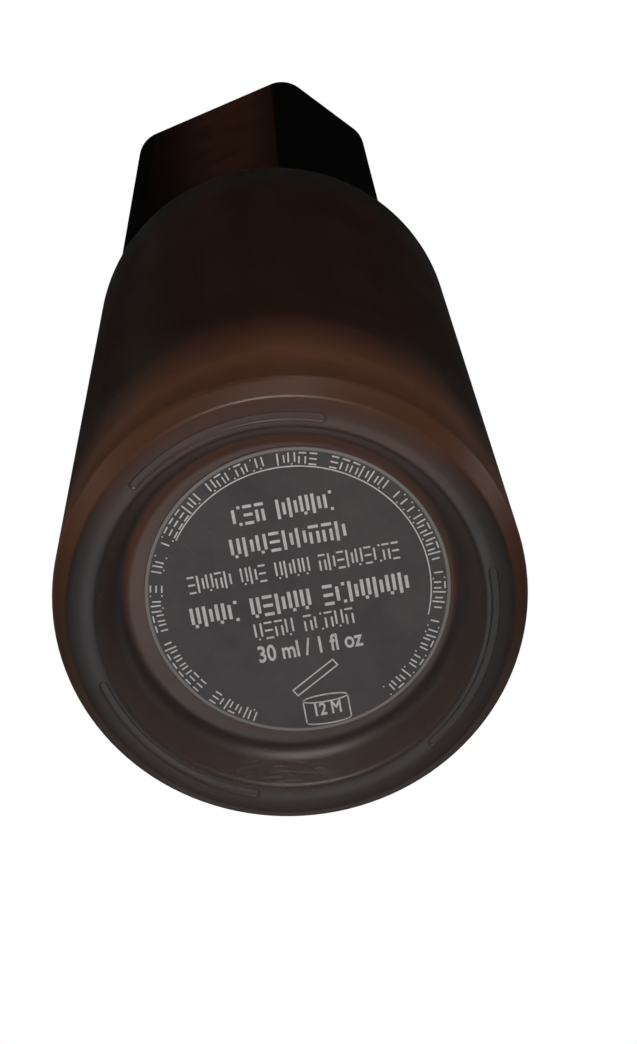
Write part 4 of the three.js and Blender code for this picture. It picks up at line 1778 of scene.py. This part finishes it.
@dataclass
class Studio:
    """Camera, lights, pale floor and pale surroundings."""

    camera_place: Vector = field(default_factory=lambda: Vector((0.0, -63.36, -152.15)))
    camera_aim: Vector = field(default_factory=lambda: Vector((2.46, 0.0, 17.31)))
    roll: float = 5.5766
    lens: float = 82.76
    sensor: float = 36.0
    floor_size: float = 12.0
    floor_glow: float = 0.6
    surround: Colour = (1.0, 1.0, 1.0, 1.0)
    ambient: Colour = (0.022, 0.02, 0.02, 1.0)
    mirrored: Colour = (0.003, 0.0028, 0.0026, 1.0)
    mirrored_floor: Colour = (0.16, 0.16, 0.16, 1.0)
    mirrored_room: Colour = (0.13, 0.13, 0.13, 1.0)
    floor_band: tuple[float, float, float, float] = (-0.03, -0.15, -0.7, -0.5)
    room_band: tuple[float, float, float, float] = (0.3, 0.42, 0.7, 0.56)
    lamps: tuple[SoftBox, ...] = (
        SoftBox("key", -94.0, -45.0, 0.2, 0.09, 0.09, 0.16, (1.0, 0.93, 0.88)),
        SoftBox("under", 100.0, -66.0, 0.5, 0.2, 0.2, 0.27, (0.95, 0.98, 1.0)),
        SoftBox("warm", 229.0, 78.6, 0.65, 0.028, 0.12, 0.0005, (1.0, 0.36, 0.22)),
        SoftBox("left", 200.0, 5.0, 0.6, 0.15, 0.5, 0.11, (1.0, 0.95, 0.9)),
        SoftBox("right", -12.0, 8.0, 0.6, 0.12, 0.5, 0.24, (0.85, 0.97, 1.0)),
        SoftBox("front", -80.0, 15.0, 0.7, 0.2, 0.4, 0.22),
        SoftBox("back", 110.0, 20.0, 0.8, 0.4, 0.4, 0.6, mirrored=False),
        SoftBox("top", 60.0, 80.0, 0.8, 0.6, 0.6, 2.0, mirrored=False),
    )

    def build(self) -> None:
        """Sets everything up."""
        self.set_camera()
        for lamp in self.lamps:
            lamp.hang(Vector((0, 0, 0.05)))
        self.lay_floor()
        self.paint_surroundings()
        bpy.context.scene.view_settings.view_transform = "Standard"

    def set_camera(self) -> None:
        """Puts the camera below and in front of the bottle, looking up at its base."""
        forward = (self.camera_aim - self.camera_place).normalized()
        level = forward.cross(Vector((0, 0, 1))).normalized()
        across = Quaternion(forward, math.radians(self.roll)) @ level
        up = across.cross(forward)
        turn = Matrix((across, up, -forward)).transposed().to_4x4()
        data = bpy.data.cameras.new("camera")
        data.lens, data.sensor_width = self.lens, self.sensor
        data.clip_start, data.clip_end = 0.01, 50.0
        camera = bpy.data.objects.new("camera", data)
        bpy.context.scene.collection.objects.link(camera)
        camera.matrix_world = Matrix.Translation(self.camera_place * MM) @ turn
        bpy.context.scene.camera = camera

    def lay_floor(self) -> None:
        """A pale floor that is seen from above and lets light and sight through from below."""
        bpy.ops.object.select_all(action="DESELECT")
        bpy.ops.mesh.primitive_plane_add(size=self.floor_size)
        floor = Bench.named("floor")
        with Bench.editing(floor):
            bpy.ops.mesh.select_all(action="SELECT")
            bpy.ops.mesh.subdivide(number_cuts=8)
        graph = Graph("pale_floor")
        mottling = graph.noise(60.0, 3.0, 0.5)
        top = graph.node(
            "ShaderNodeBsdfPrincipled",
            {},
            {
                "Base Color": graph.mix(mottling, (0.8, 0.79, 0.78, 1), (0.84, 0.83, 0.82, 1)),
                "Roughness": 0.6 + mottling * 0.1,
                "Emission Color": graph.mix(mottling, grey(0.94), grey(1.0)),
                "Emission Strength": self.floor_glow,
            },
        )
        clear = graph.node("ShaderNodeBsdfTransparent", {}, {})
        below = graph.node("ShaderNodeNewGeometry", {}, {}).outputs["Backfacing"]
        mixed = graph.node("ShaderNodeMixShader", {}, {0: below, 1: top.outputs[0], 2: clear.outputs[0]})
        floor.data.materials.append(graph.finish(mixed.outputs[0]))
        floor.visible_shadow = False
        floor.visible_diffuse = False
        floor.visible_glossy = False
        floor.visible_transmission = False

    def paint_surroundings(self) -> None:
        """Surroundings that look pale, light dimly, and show in gloss as a pale floor and a dim room."""
        graph = Graph("surroundings", world=True)
        bpy.context.scene.world = graph.owner
        view = graph.node("ShaderNodeTexCoord", {}, {}).outputs["Generated"]
        upward = Value(graph, graph.node("ShaderNodeSeparateXYZ", {}, {"Vector": view}).outputs[2])
        low = upward.step(*self.floor_band[:2]) * upward.step(*self.floor_band[2:])
        path = graph.node("ShaderNodeLightPath", {}, {}).outputs
        room = upward.step(*self.room_band[:2]) * upward.step(*self.room_band[2:])
        in_gloss = graph.mix(low, graph.mix(room, self.mirrored, self.mirrored_room), self.mirrored_floor)
        unseen = graph.mix(path["Is Glossy Ray"], self.ambient, in_gloss)
        colour = graph.mix(path["Is Camera Ray"], unseen, self.surround)
        background = graph.node("ShaderNodeBackground", {}, {"Color": colour})
        graph.node("ShaderNodeOutputWorld", {}, {"Surface": background.outputs[0]})


def main() -> None:
    """Builds the sub-assemblies in order, logging each when done, then the studio."""
    logging.basicConfig(level=logging.INFO, format="%(message)s")
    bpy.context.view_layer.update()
    wardrobe = Wardrobe()
    for kind in (GlassBottle, BaseLabel, Closure, LotionPump, FacetedCap):
        assembly = kind(wardrobe)
        assembly.build()
        log.info("%s done", type(assembly).__name__)
    Studio().build()


if __name__ == "__main__":
    main()
